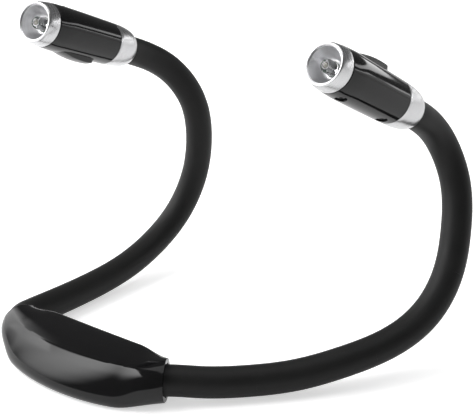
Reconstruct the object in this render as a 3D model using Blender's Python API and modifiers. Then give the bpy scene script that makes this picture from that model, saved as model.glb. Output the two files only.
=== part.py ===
"""Neck reading light: a crescent battery housing, two flexible arms and two lamp heads, in metres."""

import math

import bpy
import bmesh
import numpy as np
from mathutils import Matrix, Vector

# Common fits
FIT_GAP = 0.0003
JOINT_GAP = 0.00035
CUT_MARGIN = 0.002
MERGE = 0.000001
SCREW_MERGE = 0.00001

# Flexible arms
ARM_ROUTE_LENGTH = 0.1
SLEEVE_RADIUS = 0.006
CORE_RADIUS = 0.0028
FIRST_BEND = 0.0095
LAST_BEND = 0.012
BENDS = 5
CUP_START = 0.0026
CORE_START = 0.007
CORE_END = 0.0042
SLEEVE_STEP = 0.0052
ROOT_DEPTH = 0.0023
CORE_ROOT_DEPTH = 0.0066
SOCKET_DEPTH = 0.008
DOME_STEPS = 4
CUP_STEPS = 4
FINE_STEPS = 600
PIPE_RESOLUTION = 6
CORE_RESOLUTION = 3
TANGENT_RUN = 0.001
EXIT_ANGLE = math.radians(52)

# Housing, as half of an ellipse seen from above
HOUSING_HALF_LENGTH = 0.0453
HOUSING_DEPTH = 0.0247
HOUSING_HEIGHT = 0.0165
HOUSING_BULGE = 0.0065
HOUSING_WALL = 0.0015
END_WALL = 0.002
RING_SIZE = 0.0168
RING_ANGLE = math.radians(60)
RING_ELLIPSE_ANGLE = math.radians(68)
RING_HOLE_GAP = 0.0004
SEAM_AT = 0.0008
FLOOR_LEDGE = 0.002
STATIONS = 33
BLEND_FROM = 0.62

# Battery compartment
CELL_HEIGHT_SHARE = 0.3181818
CELL_DEPTH_SHARE = 0.2125506
CELL_RADIUS = min(HOUSING_HEIGHT * CELL_HEIGHT_SHARE, HOUSING_DEPTH * CELL_DEPTH_SHARE)
END_SPACE_SHARE = 1.4017857
CELL_LENGTH_SHARE = 0.9603
CELL_LENGTH = min(
    2 * (HOUSING_HALF_LENGTH - RING_SIZE * END_SPACE_SHARE), HOUSING_HALF_LENGTH * CELL_LENGTH_SHARE
)
CELL_TIP_RADIUS = 0.0019
CELL_TIP_LENGTH = 0.001
CELL_SPACING = 2 * CELL_RADIUS + FIT_GAP
CELL_FRONT_SHARE = 0.1
CELL_SET_BACK = 0.00127
CELL_FRONT = HOUSING_DEPTH * CELL_FRONT_SHARE - CELL_SET_BACK
DOOR_END_MARGIN = 0.00125
DOOR_LENGTH = CELL_LENGTH + 2 * DOOR_END_MARGIN
DOOR_WIDTH = 0.0186
DOOR_FRONT = 0.0028
DOOR_CORNER = 0.0015
GRIP_LENGTH = 0.008
GRIP_WIDTH = 0.0012
GRIP_DEPTH = 0.0005
GRIPS = 3
GRIP_PITCH = 0.0024
CONTACT_THICKNESS = 0.0005
CONTACT_HEIGHT = 0.0064
CONTACT_REACH = 0.0032
BOARD_THICKNESS = 0.001
BOARD_HEIGHT = 0.0078
BOARD_WIDTH_SHARE = 0.2834008
BOARD_WIDTH = HOUSING_DEPTH * BOARD_WIDTH_SHARE
POST_DEPTH = 0.0068
BOARD_FRONT = POST_DEPTH - SEAM_AT + 2 * FIT_GAP

# Cover screws and arm clamps
BOSS_RADIUS = 0.0026
POST_MARGIN = 0.0012
COVER_SCREW_SIDE = DOOR_LENGTH / 2 + BOSS_RADIUS + POST_MARGIN
COVER_SCREW_HEIGHT_SHARE = 0.515152
COVER_SCREW_RADIUS = 0.0009
COVER_SCREW_HEAD = 0.0017
COVER_SCREW_HEAD_LENGTH = 0.0012
COVER_SCREW_LENGTH = 0.0085
CLAMP_LENGTH = 0.0022
CLAMP_INSET = 0.001
CLAMP_SET_BACK = 0.0055

# Lamp heads
HEAD_LENGTH = 0.0564
HEAD_RADIUS = 0.0091
BEZEL_LENGTH = 0.0055
RIM_RADIUS = 0.0078
BOWL_RADIUS = 0.007
SHELL_REAR_RADIUS = 0.0088
SHELL_FRONT_RADIUS = 0.0087
SHELL_WALL = 0.0013
COLLAR_LENGTH_SHARE = 0.2322695
COLLAR_LENGTH = HEAD_LENGTH * COLLAR_LENGTH_SHARE
COLLAR_REAR_RADIUS = 0.0072
COLLAR_MIDDLE_RADIUS = 0.0083
COLLAR_FRONT_RADIUS = 0.0087
SPIGOT_LENGTH = 0.0022
SPIGOT_WALL = 0.001
REFLECTOR_DEPTH = 0.0056
REFLECTOR_WALL = 0.0006
LED_RADIUS = 0.0025
REFLECTOR_THROAT = LED_RADIUS + FIT_GAP
LED_FLANGE_RADIUS = 0.0029
LED_FLANGE = 0.001
LED_LENGTH = 0.0067
LED_RECESS = 0.0008
LAMP_BOARD_THICKNESS = 0.001
HEAD_STEPS = 28
LED_STEPS = 16
LED_DOME_STEPS = 5
BOWL_STEPS = 6
SCREW_STEPS = 12
CELL_STEPS = 20
HOLE_SIDES = 12
ROUND_SIDES = 16
BOARD_SIDES = 24
CORNER_SEGMENTS = 4
CORNER_SHARE = 0.5
WIDEST_SHARE = 0.75
SHELL_BOSS_RADIUS = 0.0026
SHELL_SCREW_FRONT = LED_RECESS + LED_LENGTH + LAMP_BOARD_THICKNESS + SHELL_BOSS_RADIUS + 2 * FIT_GAP
SHELL_SCREW_REAR = HEAD_LENGTH - COLLAR_LENGTH - SPIGOT_LENGTH - SHELL_BOSS_RADIUS - FIT_GAP
BUTTON_FRONT = SHELL_SCREW_FRONT + SHELL_BOSS_RADIUS + 2 * FIT_GAP
BUTTON_SPACE_SHARE = 0.0266
BUTTON_REAR = SHELL_SCREW_REAR - SHELL_BOSS_RADIUS - HEAD_LENGTH * BUTTON_SPACE_SHARE
BUTTON_LENGTH = BUTTON_REAR - BUTTON_FRONT
BUTTON_WIDTH = 0.009
BUTTON_RISE = 0.0017
BUTTON_TRAVEL = 0.0007
BUTTON_SKIRT = 0.0009
BUTTON_CORNER = 0.0016
SWITCH_LENGTH = 0.006
SWITCH_WIDTH = 0.006
SWITCH_HEIGHT = 0.0026
SWITCH_AT = HEAD_LENGTH - BUTTON_FRONT - BUTTON_LENGTH / 2
SHELL_SCREW_RADIUS = 0.0009
SHELL_SCREW_HEAD = 0.0019
SHELL_SCREW_HEAD_LENGTH = 0.0011
SHELL_SCREW_LENGTH = 0.0105
SHELL_RECESS_RADIUS = 0.0022
SHELL_RECESS_DEPTH = 0.0018
RIB_HEIGHT = 0.0042
SLOT_WIDTH = 0.0005
SLOT_DEPTH = 0.0004

# Routes from the middle of the housing's ring to the head's collar, as shares of ARM_ROUTE_LENGTH
LEFT_ROUTE_SHARES = (
    (-0.0410, 0.0388, -0.0045),
    (-0.0550, 0.0998, -0.0105),
    (-0.0530, 0.2198, -0.0165),
    (-0.0420, 0.4198, -0.0175),
    (-0.0310, 0.6398, -0.0005),
    (-0.0260, 0.8368, 0.0495),
    (-0.0070, 0.9948, 0.1525),
    (0.0280, 1.0778, 0.3175),
    (0.0540, 1.0878, 0.4975),
    (0.0480, 1.0448, 0.7075),
    (-0.0070, 0.9548, 0.8525),
    (-0.0450, 0.7618, 0.9635),
    (-0.0430, 0.7136, 0.9831),
)
RIGHT_ROUTE_SHARES = (
    (0.0970, 0.0758, -0.0085),
    (0.2270, 0.1998, -0.0165),
    (0.3520, 0.3358, -0.0105),
    (0.4620, 0.4798, 0.0155),
    (0.5570, 0.6298, 0.0535),
    (0.6300, 0.7898, 0.1325),
    (0.6520, 0.9198, 0.2575),
    (0.6240, 1.0298, 0.4175),
    (0.5720, 1.0998, 0.5775),
    (0.5040, 1.0758, 0.7475),
    (0.4730, 0.9238, 0.8775),
    (0.4664, 0.8787, 0.9026),
)
LEFT_AIM = (0.038, -0.926, 0.376)
RIGHT_AIM = (-0.126, -0.867, 0.482)
LEFT_ROLL = math.radians(178)
RIGHT_ROLL = math.radians(19)

# Cross-section of the housing at its middle: share of the way from outer wall to neck side, share of height
SECTION_SHARES = (
    (0.915, 0.000),
    (0.520, 0.000),
    (0.135, 0.000),
    (0.055, 0.040),
    (0.012, 0.140),
    (0.000, 0.255),
    (0.022, 0.400),
    (0.086, 0.570),
    (0.176, 0.740),
    (0.258, 0.862),
    (0.291, 0.894),
    (0.337, 0.920),
    (0.487, 0.962),
    (0.648, 0.988),
    (0.776, 0.998),
    (0.830, 0.994),
    (0.868, 0.970),
    (0.913, 0.898),
    (0.958, 0.776),
    (0.990, 0.618),
    (1.000, 0.473),
    (0.994, 0.315),
    (0.981, 0.158),
    (0.955, 0.046),
)
# Shares of the button's length and of its rise along its ramp, front to rear
RAMP_SHARES = (
    (0.00, -0.02),
    (0.10, 0.23),
    (0.20, 0.44),
    (0.35, 0.72),
    (0.50, 0.90),
    (0.70, 1.00),
    (0.96, 0.94),
    (1.00, 0.45),
)

COLOURS = {
    "shell": ((0.012, 0.012, 0.013, 1.0), 0.0, 0.12),
    "cover": ((0.018, 0.018, 0.019, 1.0), 0.0, 0.25),
    "rubber": ((0.016, 0.016, 0.016, 1.0), 0.0, 0.75),
    "core": ((0.55, 0.56, 0.58, 1.0), 1.0, 0.35),
    "bezel": ((0.78, 0.79, 0.80, 1.0), 1.0, 0.28),
    "reflector": ((0.72, 0.72, 0.73, 1.0), 1.0, 0.22),
    "lens": ((0.92, 0.95, 0.97, 0.45), 0.0, 0.05),
    "board": ((0.03, 0.16, 0.07, 1.0), 0.0, 0.45),
    "button": ((0.014, 0.014, 0.015, 1.0), 0.0, 0.35),
    "switch": ((0.05, 0.05, 0.055, 1.0), 0.0, 0.5),
    "screw": ((0.35, 0.36, 0.38, 1.0), 1.0, 0.3),
    "cell": ((0.62, 0.63, 0.65, 1.0), 1.0, 0.35),
    "contact": ((0.75, 0.72, 0.62, 1.0), 1.0, 0.3),
    "clamp": ((0.09, 0.09, 0.095, 1.0), 0.0, 0.55),
}


def clear_scene():
    for obj in list(bpy.data.objects):
        bpy.data.objects.remove(obj, do_unlink=True)


def new_collection(name, hidden):
    made = bpy.data.collections.new(name)
    made.hide_render = hidden
    bpy.context.scene.collection.children.link(made)
    return made


def make_materials():
    made = {}
    for name, (colour, metallic, roughness) in COLOURS.items():
        material = bpy.data.materials.new(name)
        material.use_nodes = True
        shader = material.node_tree.nodes["Principled BSDF"]
        shader.inputs["Base Color"].default_value = colour
        shader.inputs["Metallic"].default_value = metallic
        shader.inputs["Roughness"].default_value = roughness
        shader.inputs["Alpha"].default_value = colour[-1]
        made[name] = material
    return made


class Builder:
    """Adds pieces to the scene under a parent empty, each given by its place in the world."""

    def __init__(self):
        self.pieces = new_collection("neck_reading_light", False)
        self.cutters = new_collection("cutters", True)
        self.materials = make_materials()
        self.places = {}

    def empty(self, name, place, parent=None):
        made = bpy.data.objects.new(name, None)
        made.empty_display_size = SLEEVE_RADIUS
        self.pieces.objects.link(made)
        self.put(made, place, parent)
        return made

    def put(self, obj, place, parent):
        obj.parent = parent
        start = self.places[parent.name].inverted() if parent else Matrix()
        obj.matrix_basis = start @ place
        self.places[obj.name] = place

    def piece(self, name, mesh, place, parent, slot, smooth=True):
        obj = bpy.data.objects.new(name, mesh)
        self.pieces.objects.link(obj)
        self.put(obj, place, parent)
        mesh.materials.clear()
        mesh.materials.append(self.materials[slot])
        if smooth:
            mesh.shade_smooth()
        return obj

    def cutter(self, name, mesh, place):
        obj = bpy.data.objects.new(name, mesh)
        obj.display_type = "WIRE"
        obj.hide_render = True
        self.cutters.objects.link(obj)
        self.put(obj, place, None)
        return obj

    def cut(self, obj, cutter, operation="DIFFERENCE"):
        modifier = obj.modifiers.new(cutter.name, "BOOLEAN")
        modifier.operation = operation
        modifier.solver = "EXACT"
        modifier.object = cutter


def finish_mesh(name, work):
    bmesh.ops.remove_doubles(work, verts=work.verts, dist=MERGE)
    bmesh.ops.recalc_face_normals(work, faces=work.faces)
    mesh = bpy.data.meshes.new(name)
    work.to_mesh(mesh)
    work.free()
    return mesh


def box_mesh(name, low, high):
    work = bmesh.new()
    bmesh.ops.create_cube(work, size=1)
    size = Vector(high) - Vector(low)
    bmesh.ops.scale(work, vec=size, verts=work.verts)
    bmesh.ops.translate(work, vec=(Vector(high) + Vector(low)) / 2, verts=work.verts)
    return finish_mesh(name, work)


def rounded_plate_mesh(name, length, width, corner, low, high):
    """A plate in X and Y round the origin with bevelled upright corners."""
    work = bmesh.new()
    bmesh.ops.create_cube(work, size=1)
    bmesh.ops.scale(work, vec=(length, width, high - low), verts=work.verts)
    bmesh.ops.translate(work, vec=(0, 0, (high + low) / 2), verts=work.verts)
    upright = [edge for edge in work.edges if is_upright(edge)]
    bmesh.ops.bevel(
        work,
        geom=upright,
        offset=corner,
        segments=CORNER_SEGMENTS,
        profile=CORNER_SHARE,
        affect="EDGES",
    )
    return finish_mesh(name, work)


def is_upright(edge):
    first, second = edge.verts
    across = (first.co - second.co).xy.length
    return across < MERGE


def cylinder_mesh(name, radius, low, high, sides):
    work = bmesh.new()
    bmesh.ops.create_cone(
        work, cap_ends=True, segments=sides, radius1=radius, radius2=radius, depth=high - low
    )
    bmesh.ops.translate(work, vec=(0, 0, (high + low) / 2), verts=work.verts)
    return finish_mesh(name, work)


def turned_mesh(name, profile, steps):
    """A closed profile of (radius, height) points turned once round Z, converted from a Screw modifier."""
    mesh = bpy.data.meshes.new(name + "_profile")
    points = [(radius, 0, height) for radius, height in profile]
    pairs = [(index, (index + 1) % len(points)) for index in range(len(points))]
    edges = [(first, second) for first, second in pairs if max(points[first][0], points[second][0]) > 0]
    mesh.from_pydata(points, edges, [])
    obj = bpy.data.objects.new(name + "_profile", mesh)
    bpy.context.scene.collection.objects.link(obj)
    screw = obj.modifiers.new("turn", "SCREW")
    screw.steps = steps
    screw.render_steps = steps
    screw.use_merge_vertices = True
    screw.merge_threshold = SCREW_MERGE
    graph = bpy.context.evaluated_depsgraph_get()
    made = bpy.data.meshes.new_from_object(obj.evaluated_get(graph))
    bpy.data.objects.remove(obj, do_unlink=True)
    work = bmesh.new()
    work.from_mesh(made)
    bpy.data.meshes.remove(made)
    return finish_mesh(name, work)


def pipe_mesh(name, points, radii, resolution):
    """A curve through the points, bevelled to the radii and converted to a closed mesh."""
    widest = max(radii)
    curve = bpy.data.curves.new(name + "_path", "CURVE")
    curve.dimensions = "3D"
    curve.bevel_depth = widest
    curve.bevel_resolution = resolution
    curve.use_fill_caps = True
    line = curve.splines.new("POLY")
    line.points.add(len(points) - 1)
    for point, place, radius in zip(line.points, points, radii):
        point.co = (*place, 1)
        point.radius = radius / widest
    obj = bpy.data.objects.new(name + "_path", curve)
    bpy.context.scene.collection.objects.link(obj)
    graph = bpy.context.evaluated_depsgraph_get()
    made = bpy.data.meshes.new_from_object(obj.evaluated_get(graph))
    bpy.data.objects.remove(obj, do_unlink=True)
    work = bmesh.new()
    work.from_mesh(made)
    bpy.data.meshes.remove(made)
    return finish_mesh(name, work)


def frame_at(origin, forward, top):
    """The matrix whose Z runs forward and whose X is as near top as it can be."""
    z_axis = Vector(forward).normalized()
    x_axis = (Vector(top) - z_axis * Vector(top).dot(z_axis)).normalized()
    y_axis = z_axis.cross(x_axis)
    turn = Matrix((x_axis, y_axis, z_axis)).transposed().to_4x4()
    return Matrix.Translation(origin) @ turn


class Route:
    """A clamped cubic spline through the arm's points, measured along it and straight beyond its ends."""

    def __init__(self, points, start, end):
        points = np.array(points)
        spans = np.linalg.norm(np.diff(points, axis=0), axis=1)
        knots = np.concatenate([[0], np.cumsum(spans)])
        slopes = self.slopes(points, spans, start, end)
        places = np.linspace(0, knots[-1], FINE_STEPS)
        index = np.clip(np.searchsorted(knots, places) - 1, 0, len(spans) - 1)
        span = spans[index][:, None]
        share = ((places - knots[index]) / spans[index])[:, None]
        self.fine = (
            (1 + 2 * share) * (1 - share) ** 2 * points[index]
            + share * (1 - share) ** 2 * span * slopes[index]
            + share**2 * (3 - 2 * share) * points[index + 1]
            + share**2 * (share - 1) * span * slopes[index + 1]
        )
        steps = np.linalg.norm(np.diff(self.fine, axis=0), axis=1)
        self.along = np.concatenate([[0], np.cumsum(steps)])
        self.length = float(self.along[-1])
        self.start = np.array(start)
        self.end = np.array(end)
        self.tops = self.transported()

    def slopes(self, points, spans, start, end):
        """The slope at each point that makes the curvature continuous."""
        count = len(points)
        system = np.eye(count)
        wanted = np.zeros((count, 3))
        wanted[0] = start
        wanted[-1] = end
        for index in range(1, count - 1):
            before, after = spans[index - 1], spans[index]
            system[index, index - 1 : index + 2] = after, 2 * (before + after), before
            rise_before = (points[index] - points[index - 1]) / before
            rise_after = (points[index + 1] - points[index]) / after
            wanted[index] = 3 * (after * rise_before + before * rise_after)
        return np.linalg.solve(system, wanted)

    def at(self, distance):
        if distance < 0:
            return Vector(self.fine[0] + self.start * distance)
        if distance > self.length:
            return Vector(self.fine[-1] + self.end * (distance - self.length))
        place = [np.interp(distance, self.along, self.fine[:, axis]) for axis in range(3)]
        return Vector(place)

    def forward(self, distance):
        step = self.length / FINE_STEPS
        return (self.at(distance + step) - self.at(distance - step)).normalized()

    def transported(self):
        """A sideways direction at each fine point, carried along with the least twist from straight up."""
        top = Vector((0, 0, 1))
        tops = []
        for distance in self.along:
            ahead = self.forward(distance)
            top = (top - ahead * top.dot(ahead)).normalized()
            tops.append(top.copy())
        return np.array(tops)

    def frame(self, distance):
        place = [np.interp(distance, self.along, self.tops[:, axis]) for axis in range(3)]
        return frame_at(self.at(distance), self.forward(distance), place)


def ring_centre():
    """The middle of the right-hand ring face, on the housing's end."""
    outer = Vector(
        (
            HOUSING_HALF_LENGTH * math.sin(RING_ELLIPSE_ANGLE),
            -HOUSING_DEPTH * math.cos(RING_ELLIPSE_ANGLE),
            HOUSING_HEIGHT / 2,
        )
    )
    across = Vector((-math.cos(RING_ANGLE), math.sin(RING_ANGLE), 0))
    return outer + across * RING_SIZE / 2


def route_of(side, shares, aim):
    """The arm's route from the ring; side is -1 for left and 1 for right."""
    start = ring_centre()
    start.x *= side
    exit_way = (side * math.sin(EXIT_ANGLE), math.cos(EXIT_ANGLE), 0)
    points = [tuple(start)]
    points += [tuple(start + Vector(point) * ARM_ROUTE_LENGTH) for point in shares]
    return Route(points, exit_way, tuple(Vector(aim).normalized()))


def smoothstep(value):
    value = min(max(value, 0), 1)
    return value * value * (3 - 2 * value)


def housing_station(share):
    """Outer and neck-side points of the upright section plane, share running from -1 to 1."""
    reach = math.sin(RING_ELLIPSE_ANGLE) * share
    outer = Vector((HOUSING_HALF_LENGTH * reach, -HOUSING_DEPTH * math.sqrt(1 - reach**2), 0))
    centre = ring_centre()
    half = RING_SIZE / 2
    end = centre + Vector((-math.cos(RING_ANGLE), math.sin(RING_ANGLE), 0)) * half
    bulge = HOUSING_BULGE + (end.y - HOUSING_BULGE) * share**2
    return outer, Vector((end.x * share, bulge, 0))


def housing_section(share, inset):
    """The section's points, going from the middle's shape to a circle at the ring, shrunk by the inset."""
    outer, inner = housing_station(share)
    across = (inner - outer).length
    blend = smoothstep((abs(share) - BLEND_FROM) / (1 - BLEND_FROM))
    shrink_across = 1 - 2 * inset / across
    shrink_up = 1 - 2 * inset / HOUSING_HEIGHT
    points = []
    for along, up in SECTION_SHARES:
        x_part = 2 * along - 1
        z_part = 2 * up - 1
        reach = math.hypot(x_part, z_part)
        x_part += (x_part / reach - x_part) * blend
        z_part += (z_part / reach - z_part) * blend
        flat = (outer + inner) / 2 + (inner - outer) / 2 * x_part * shrink_across
        height = HOUSING_HEIGHT / 2 * (1 + z_part * shrink_up)
        points.append(Vector((flat.x, flat.y, height)))
    return points


def housing_loft(name, reach, inset, stations):
    """The loft in triangles between the sections out to the share called reach, with flat ends."""
    work = bmesh.new()
    rows = []
    for index in range(stations):
        share = reach * math.sin((index / (stations - 1) - 1 / 2) * math.pi)
        rows.append([work.verts.new(point) for point in housing_section(share, inset)])
    count = len(SECTION_SHARES)
    for first, second in zip(rows, rows[1:]):
        for index in range(count):
            after = (index + 1) % count
            work.faces.new((first[index], first[after], second[after], second[index]))
    work.faces.new(rows[0])
    work.faces.new(rows[-1])
    bmesh.ops.triangulate(work, faces=work.faces)
    return finish_mesh(name, work)


def route_pipe(name, route, start, end, radius, resolution, to_local):
    """A plain pipe along part of the route."""
    count = max(2, round((end - start) / SLEEVE_STEP) + 1)
    points = [to_local @ route.at(place) for place in np.linspace(start, end, count)]
    return pipe_mesh(name, points, [radius] * count, resolution)


def sleeve_mesh(name, route, start, end, dome, to_local):
    """A length of sleeve; with dome set it ends in half a ball round the end point."""
    count = max(2, round((end - start) / SLEEVE_STEP) + 1)
    points = [route.at(place) for place in np.linspace(start, end, count)]
    radii = [SLEEVE_RADIUS] * count
    if dome:
        centre, ahead = route.at(end), route.forward(end)
        points.insert(count - 1, centre - ahead * TANGENT_RUN)
        radii.append(SLEEVE_RADIUS)
        for step in range(1, DOME_STEPS + 1):
            angle = math.pi / 2 * step / (DOME_STEPS + 1)
            points.append(centre + ahead * SLEEVE_RADIUS * math.sin(angle))
            radii.append(SLEEVE_RADIUS * math.cos(angle))
    return pipe_mesh(name, [to_local @ point for point in points], radii, PIPE_RESOLUTION)


def bore_mesh(name, route, start, end, cup):
    """The sleeve's bore from start to end; with cup set it opens into part of a ball round the start."""
    bore = CORE_RADIUS + FIT_GAP
    points, radii = [], []
    first = start
    if cup:
        ball = SLEEVE_RADIUS + JOINT_GAP
        mouth = math.asin(bore / ball)
        centre, ahead = route.at(start), route.forward(start)
        for step in range(CUP_STEPS + 1):
            angle = math.pi / 2 + (mouth - math.pi / 2) * step / CUP_STEPS
            points.append(centre + ahead * ball * math.cos(angle))
            radii.append(ball * math.sin(angle))
        points.append(centre + ahead * (ball * math.cos(mouth) + TANGENT_RUN))
        radii.append(bore)
        first = start + ball * math.cos(mouth) + SLEEVE_STEP / 2
    count = max(2, round((end - first) / SLEEVE_STEP) + 1)
    for place in np.linspace(first, end, count):
        points.append(route.at(place))
        radii.append(bore)
    return pipe_mesh(name, points, radii, PIPE_RESOLUTION)


def build_arm(make, side, route, root):
    """The sleeves and cores of one arm on its chain of bend empties; returns the last empty."""
    spacing = (route.length - FIRST_BEND - LAST_BEND) / (BENDS - 1)
    bends = [FIRST_BEND + spacing * index for index in range(BENDS)]
    starts = [-ROOT_DEPTH] + [bend + CUP_START for bend in bends]
    ends = bends + [route.length + SOCKET_DEPTH - FIT_GAP]
    core_starts = [-CORE_ROOT_DEPTH] + [bend + CORE_START for bend in bends]
    core_ends = [bend + CORE_END for bend in bends] + [route.length + SOCKET_DEPTH - FIT_GAP]
    parent = root
    for index, (start, end) in enumerate(zip(starts, ends)):
        if index:
            turn = bend_place(route, bends[index - 1], index)
            parent = make.empty(f"{side}_bend_{index}", turn, parent)
        place = make.places[parent.name]
        local = place.inverted()
        name = f"{side}_sleeve_{index + 1}"
        last = index == BENDS
        mesh = sleeve_mesh(name, route, start, end, not last, local)
        sleeve = make.piece(name, mesh, place, parent, "rubber")
        bore_start = bends[index - 1] if index else start - CUT_MARGIN
        bore_end = end + (CUT_MARGIN if last else SLEEVE_RADIUS)
        bore = bore_mesh(name + "_bore", route, bore_start, bore_end, index > 0)
        make.cut(sleeve, make.cutter(name + "_bore", bore, Matrix()))
        name = f"{side}_core_{index + 1}"
        mesh = route_pipe(
            name, route, core_starts[index], core_ends[index], CORE_RADIUS, CORE_RESOLUTION, local
        )
        make.piece(name, mesh, place, parent, "core")
    return parent


def bend_place(route, distance, index):
    """The bend's place, with Z on its hinge axis: sideways bends and lifting bends take turns."""
    frame = route.frame(distance)
    ahead = frame.col[2].xyz
    top = frame.col[0].xyz
    across = frame.col[1].xyz
    axis = top if index % 2 else across
    return frame_at(frame.translation, axis, ahead)


def build_shells(make, root, routes):
    """The outer shell, the cover on the neck side and the battery door, with what is cut from them."""
    whole = housing_loft("housing_whole", 1, 0, STATIONS)
    shell = make.piece("outer_shell", whole, Matrix(), root, "shell")
    cover = make.piece("back_cover", whole.copy(), Matrix(), root, "cover")
    mesh = housing_loft("housing_hollow", inner_reach(0), HOUSING_WALL, STATIONS // 2)
    hollow = make.cutter("housing_hollow", mesh, Matrix())
    wide = HOUSING_HALF_LENGTH + CUT_MARGIN
    seam = SEAM_AT - FIT_GAP / 2
    far = HOUSING_BULGE + CUT_MARGIN
    top = HOUSING_HEIGHT + CUT_MARGIN
    neck_side = make.cutter(
        "neck_side", box_mesh("neck_side", (-wide, seam, FLOOR_LEDGE), (wide, far, top)), Matrix()
    )
    low = (-wide, seam + FIT_GAP, FLOOR_LEDGE + FIT_GAP)
    cover_side = make.cutter("cover_side", box_mesh("cover_side", low, (wide, far, top)), Matrix())
    make.cut(shell, hollow)
    make.cut(cover, hollow)
    make.cut(shell, neck_side)
    make.cut(cover, cover_side, "INTERSECT")
    for side, route in routes.items():
        hole = route_pipe(
            f"{side}_arm_hole",
            route,
            -END_WALL - 2 * CUT_MARGIN,
            2 * CUT_MARGIN,
            SLEEVE_RADIUS + RING_HOLE_GAP,
            PIPE_RESOLUTION,
            Matrix(),
        )
        hole = make.cutter(f"{side}_arm_hole", hole, Matrix())
        make.cut(shell, hole)
        make.cut(cover, hole)
    door_middle = DOOR_FRONT - DOOR_WIDTH / 2
    mesh = rounded_plate_mesh(
        "door_opening", DOOR_LENGTH, DOOR_WIDTH, DOOR_CORNER, -CUT_MARGIN, HOUSING_WALL + CUT_MARGIN
    )
    opening = make.cutter("door_opening", mesh, Matrix.Translation((0, door_middle, 0)))
    make.cut(shell, opening)
    mesh = rounded_plate_mesh(
        "battery_door",
        DOOR_LENGTH - 2 * FIT_GAP,
        DOOR_WIDTH - 2 * FIT_GAP,
        DOOR_CORNER - FIT_GAP,
        0,
        HOUSING_WALL,
    )
    door = make.piece("battery_door", mesh, Matrix.Translation((0, door_middle, 0)), root, "cover", False)
    for index in range(GRIPS):
        across = (index - (GRIPS - 1) / 2) * GRIP_PITCH
        name = f"door_grip_{index + 1}"
        mesh = box_mesh(name, (0, -GRIP_LENGTH / 2, -CUT_MARGIN), (GRIP_WIDTH, GRIP_LENGTH / 2, GRIP_DEPTH))
        place = Matrix.Translation((DOOR_LENGTH / 2 - GRIP_LENGTH + across, door_middle, 0))
        make.cut(door, make.cutter(name, mesh, place))
    return shell, cover


def inner_reach(gap):
    """The share at which the hollow, or what stands this gap short of it, meets the end wall."""
    return 1 - (END_WALL + gap) / (ring_centre().x * math.sin(RING_ANGLE))


def build_cover_screws(make, root, shell, cover):
    """A screw each side that holds the cover to a post on the outer shell."""
    along_y = Vector((0, 1, 0))
    for side, name in ((-1, "left"), (1, "right")):
        height = HOUSING_HEIGHT * COVER_SCREW_HEIGHT_SHARE
        seat = Vector((side * COVER_SCREW_SIDE, cover_face(COVER_SCREW_SIDE), height))
        place = frame_at(seat, along_y, Vector((0, 0, 1)))
        head_low = -COVER_SCREW_HEAD_LENGTH - SLOT_DEPTH
        low = seat - Vector((BOSS_RADIUS, seat.y + POST_DEPTH - SEAM_AT, height - HOUSING_WALL / 2))
        high = Vector((seat.x + BOSS_RADIUS, SEAM_AT - FIT_GAP, height + BOSS_RADIUS))
        post = make.cutter(f"{name}_post", box_mesh(f"{name}_post", low, high), Matrix())
        boss_low = SEAM_AT + FIT_GAP / 2 - seat.y
        boss = cylinder_mesh(f"{name}_boss", BOSS_RADIUS, boss_low, -HOUSING_WALL / 4, ROUND_SIDES)
        make.cut(cover, make.cutter(f"{name}_boss", boss, place), "UNION")
        hole = cylinder_mesh(
            f"{name}_screw_hole",
            COVER_SCREW_RADIUS + FIT_GAP,
            -SLOT_DEPTH - COVER_SCREW_LENGTH - COVER_SCREW_RADIUS - FIT_GAP,
            CUT_MARGIN,
            HOLE_SIDES,
        )
        hole = make.cutter(f"{name}_screw_hole", hole, place)
        recess = cylinder_mesh(
            f"{name}_screw_recess", COVER_SCREW_HEAD + FIT_GAP, head_low - FIT_GAP, CUT_MARGIN, ROUND_SIDES
        )
        recess = make.cutter(f"{name}_screw_recess", recess, place)
        make.cut(post, hole)
        make.cut(shell, post, "UNION")
        make.cut(cover, hole)
        make.cut(cover, recess)
        build_screw(
            make,
            f"{name}_cover_screw",
            place @ Matrix.Translation((0, 0, -SLOT_DEPTH)),
            root,
            (COVER_SCREW_HEAD, COVER_SCREW_HEAD_LENGTH, COVER_SCREW_RADIUS, COVER_SCREW_LENGTH),
        )


def cover_face(across):
    """How far the cover's face reaches towards the neck at this distance from the middle."""
    share = across / ring_centre().x
    return housing_station(min(share, 1))[1].y - HOUSING_WALL / 4


def build_screw(make, name, place, parent, sizes):
    """A slotted screw whose head's face is at the place's origin and whose shank runs to -Z."""
    head, head_length, shank, length = sizes
    profile = (
        (0, 0),
        (head - SLOT_DEPTH, 0),
        (head, -SLOT_DEPTH),
        (head, -head_length),
        (shank, -head_length),
        (shank, -length),
        (0, -length - shank),
    )
    screw = make.piece(name, turned_mesh(name, profile, SCREW_STEPS), place, parent, "screw", False)
    half = SLOT_WIDTH / 2
    mesh = box_mesh(name + "_slot", (-head, -half, -SLOT_DEPTH), (head, half, CUT_MARGIN))
    slot = make.cutter(name + "_slot", mesh, place)
    make.cut(screw, slot)


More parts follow.
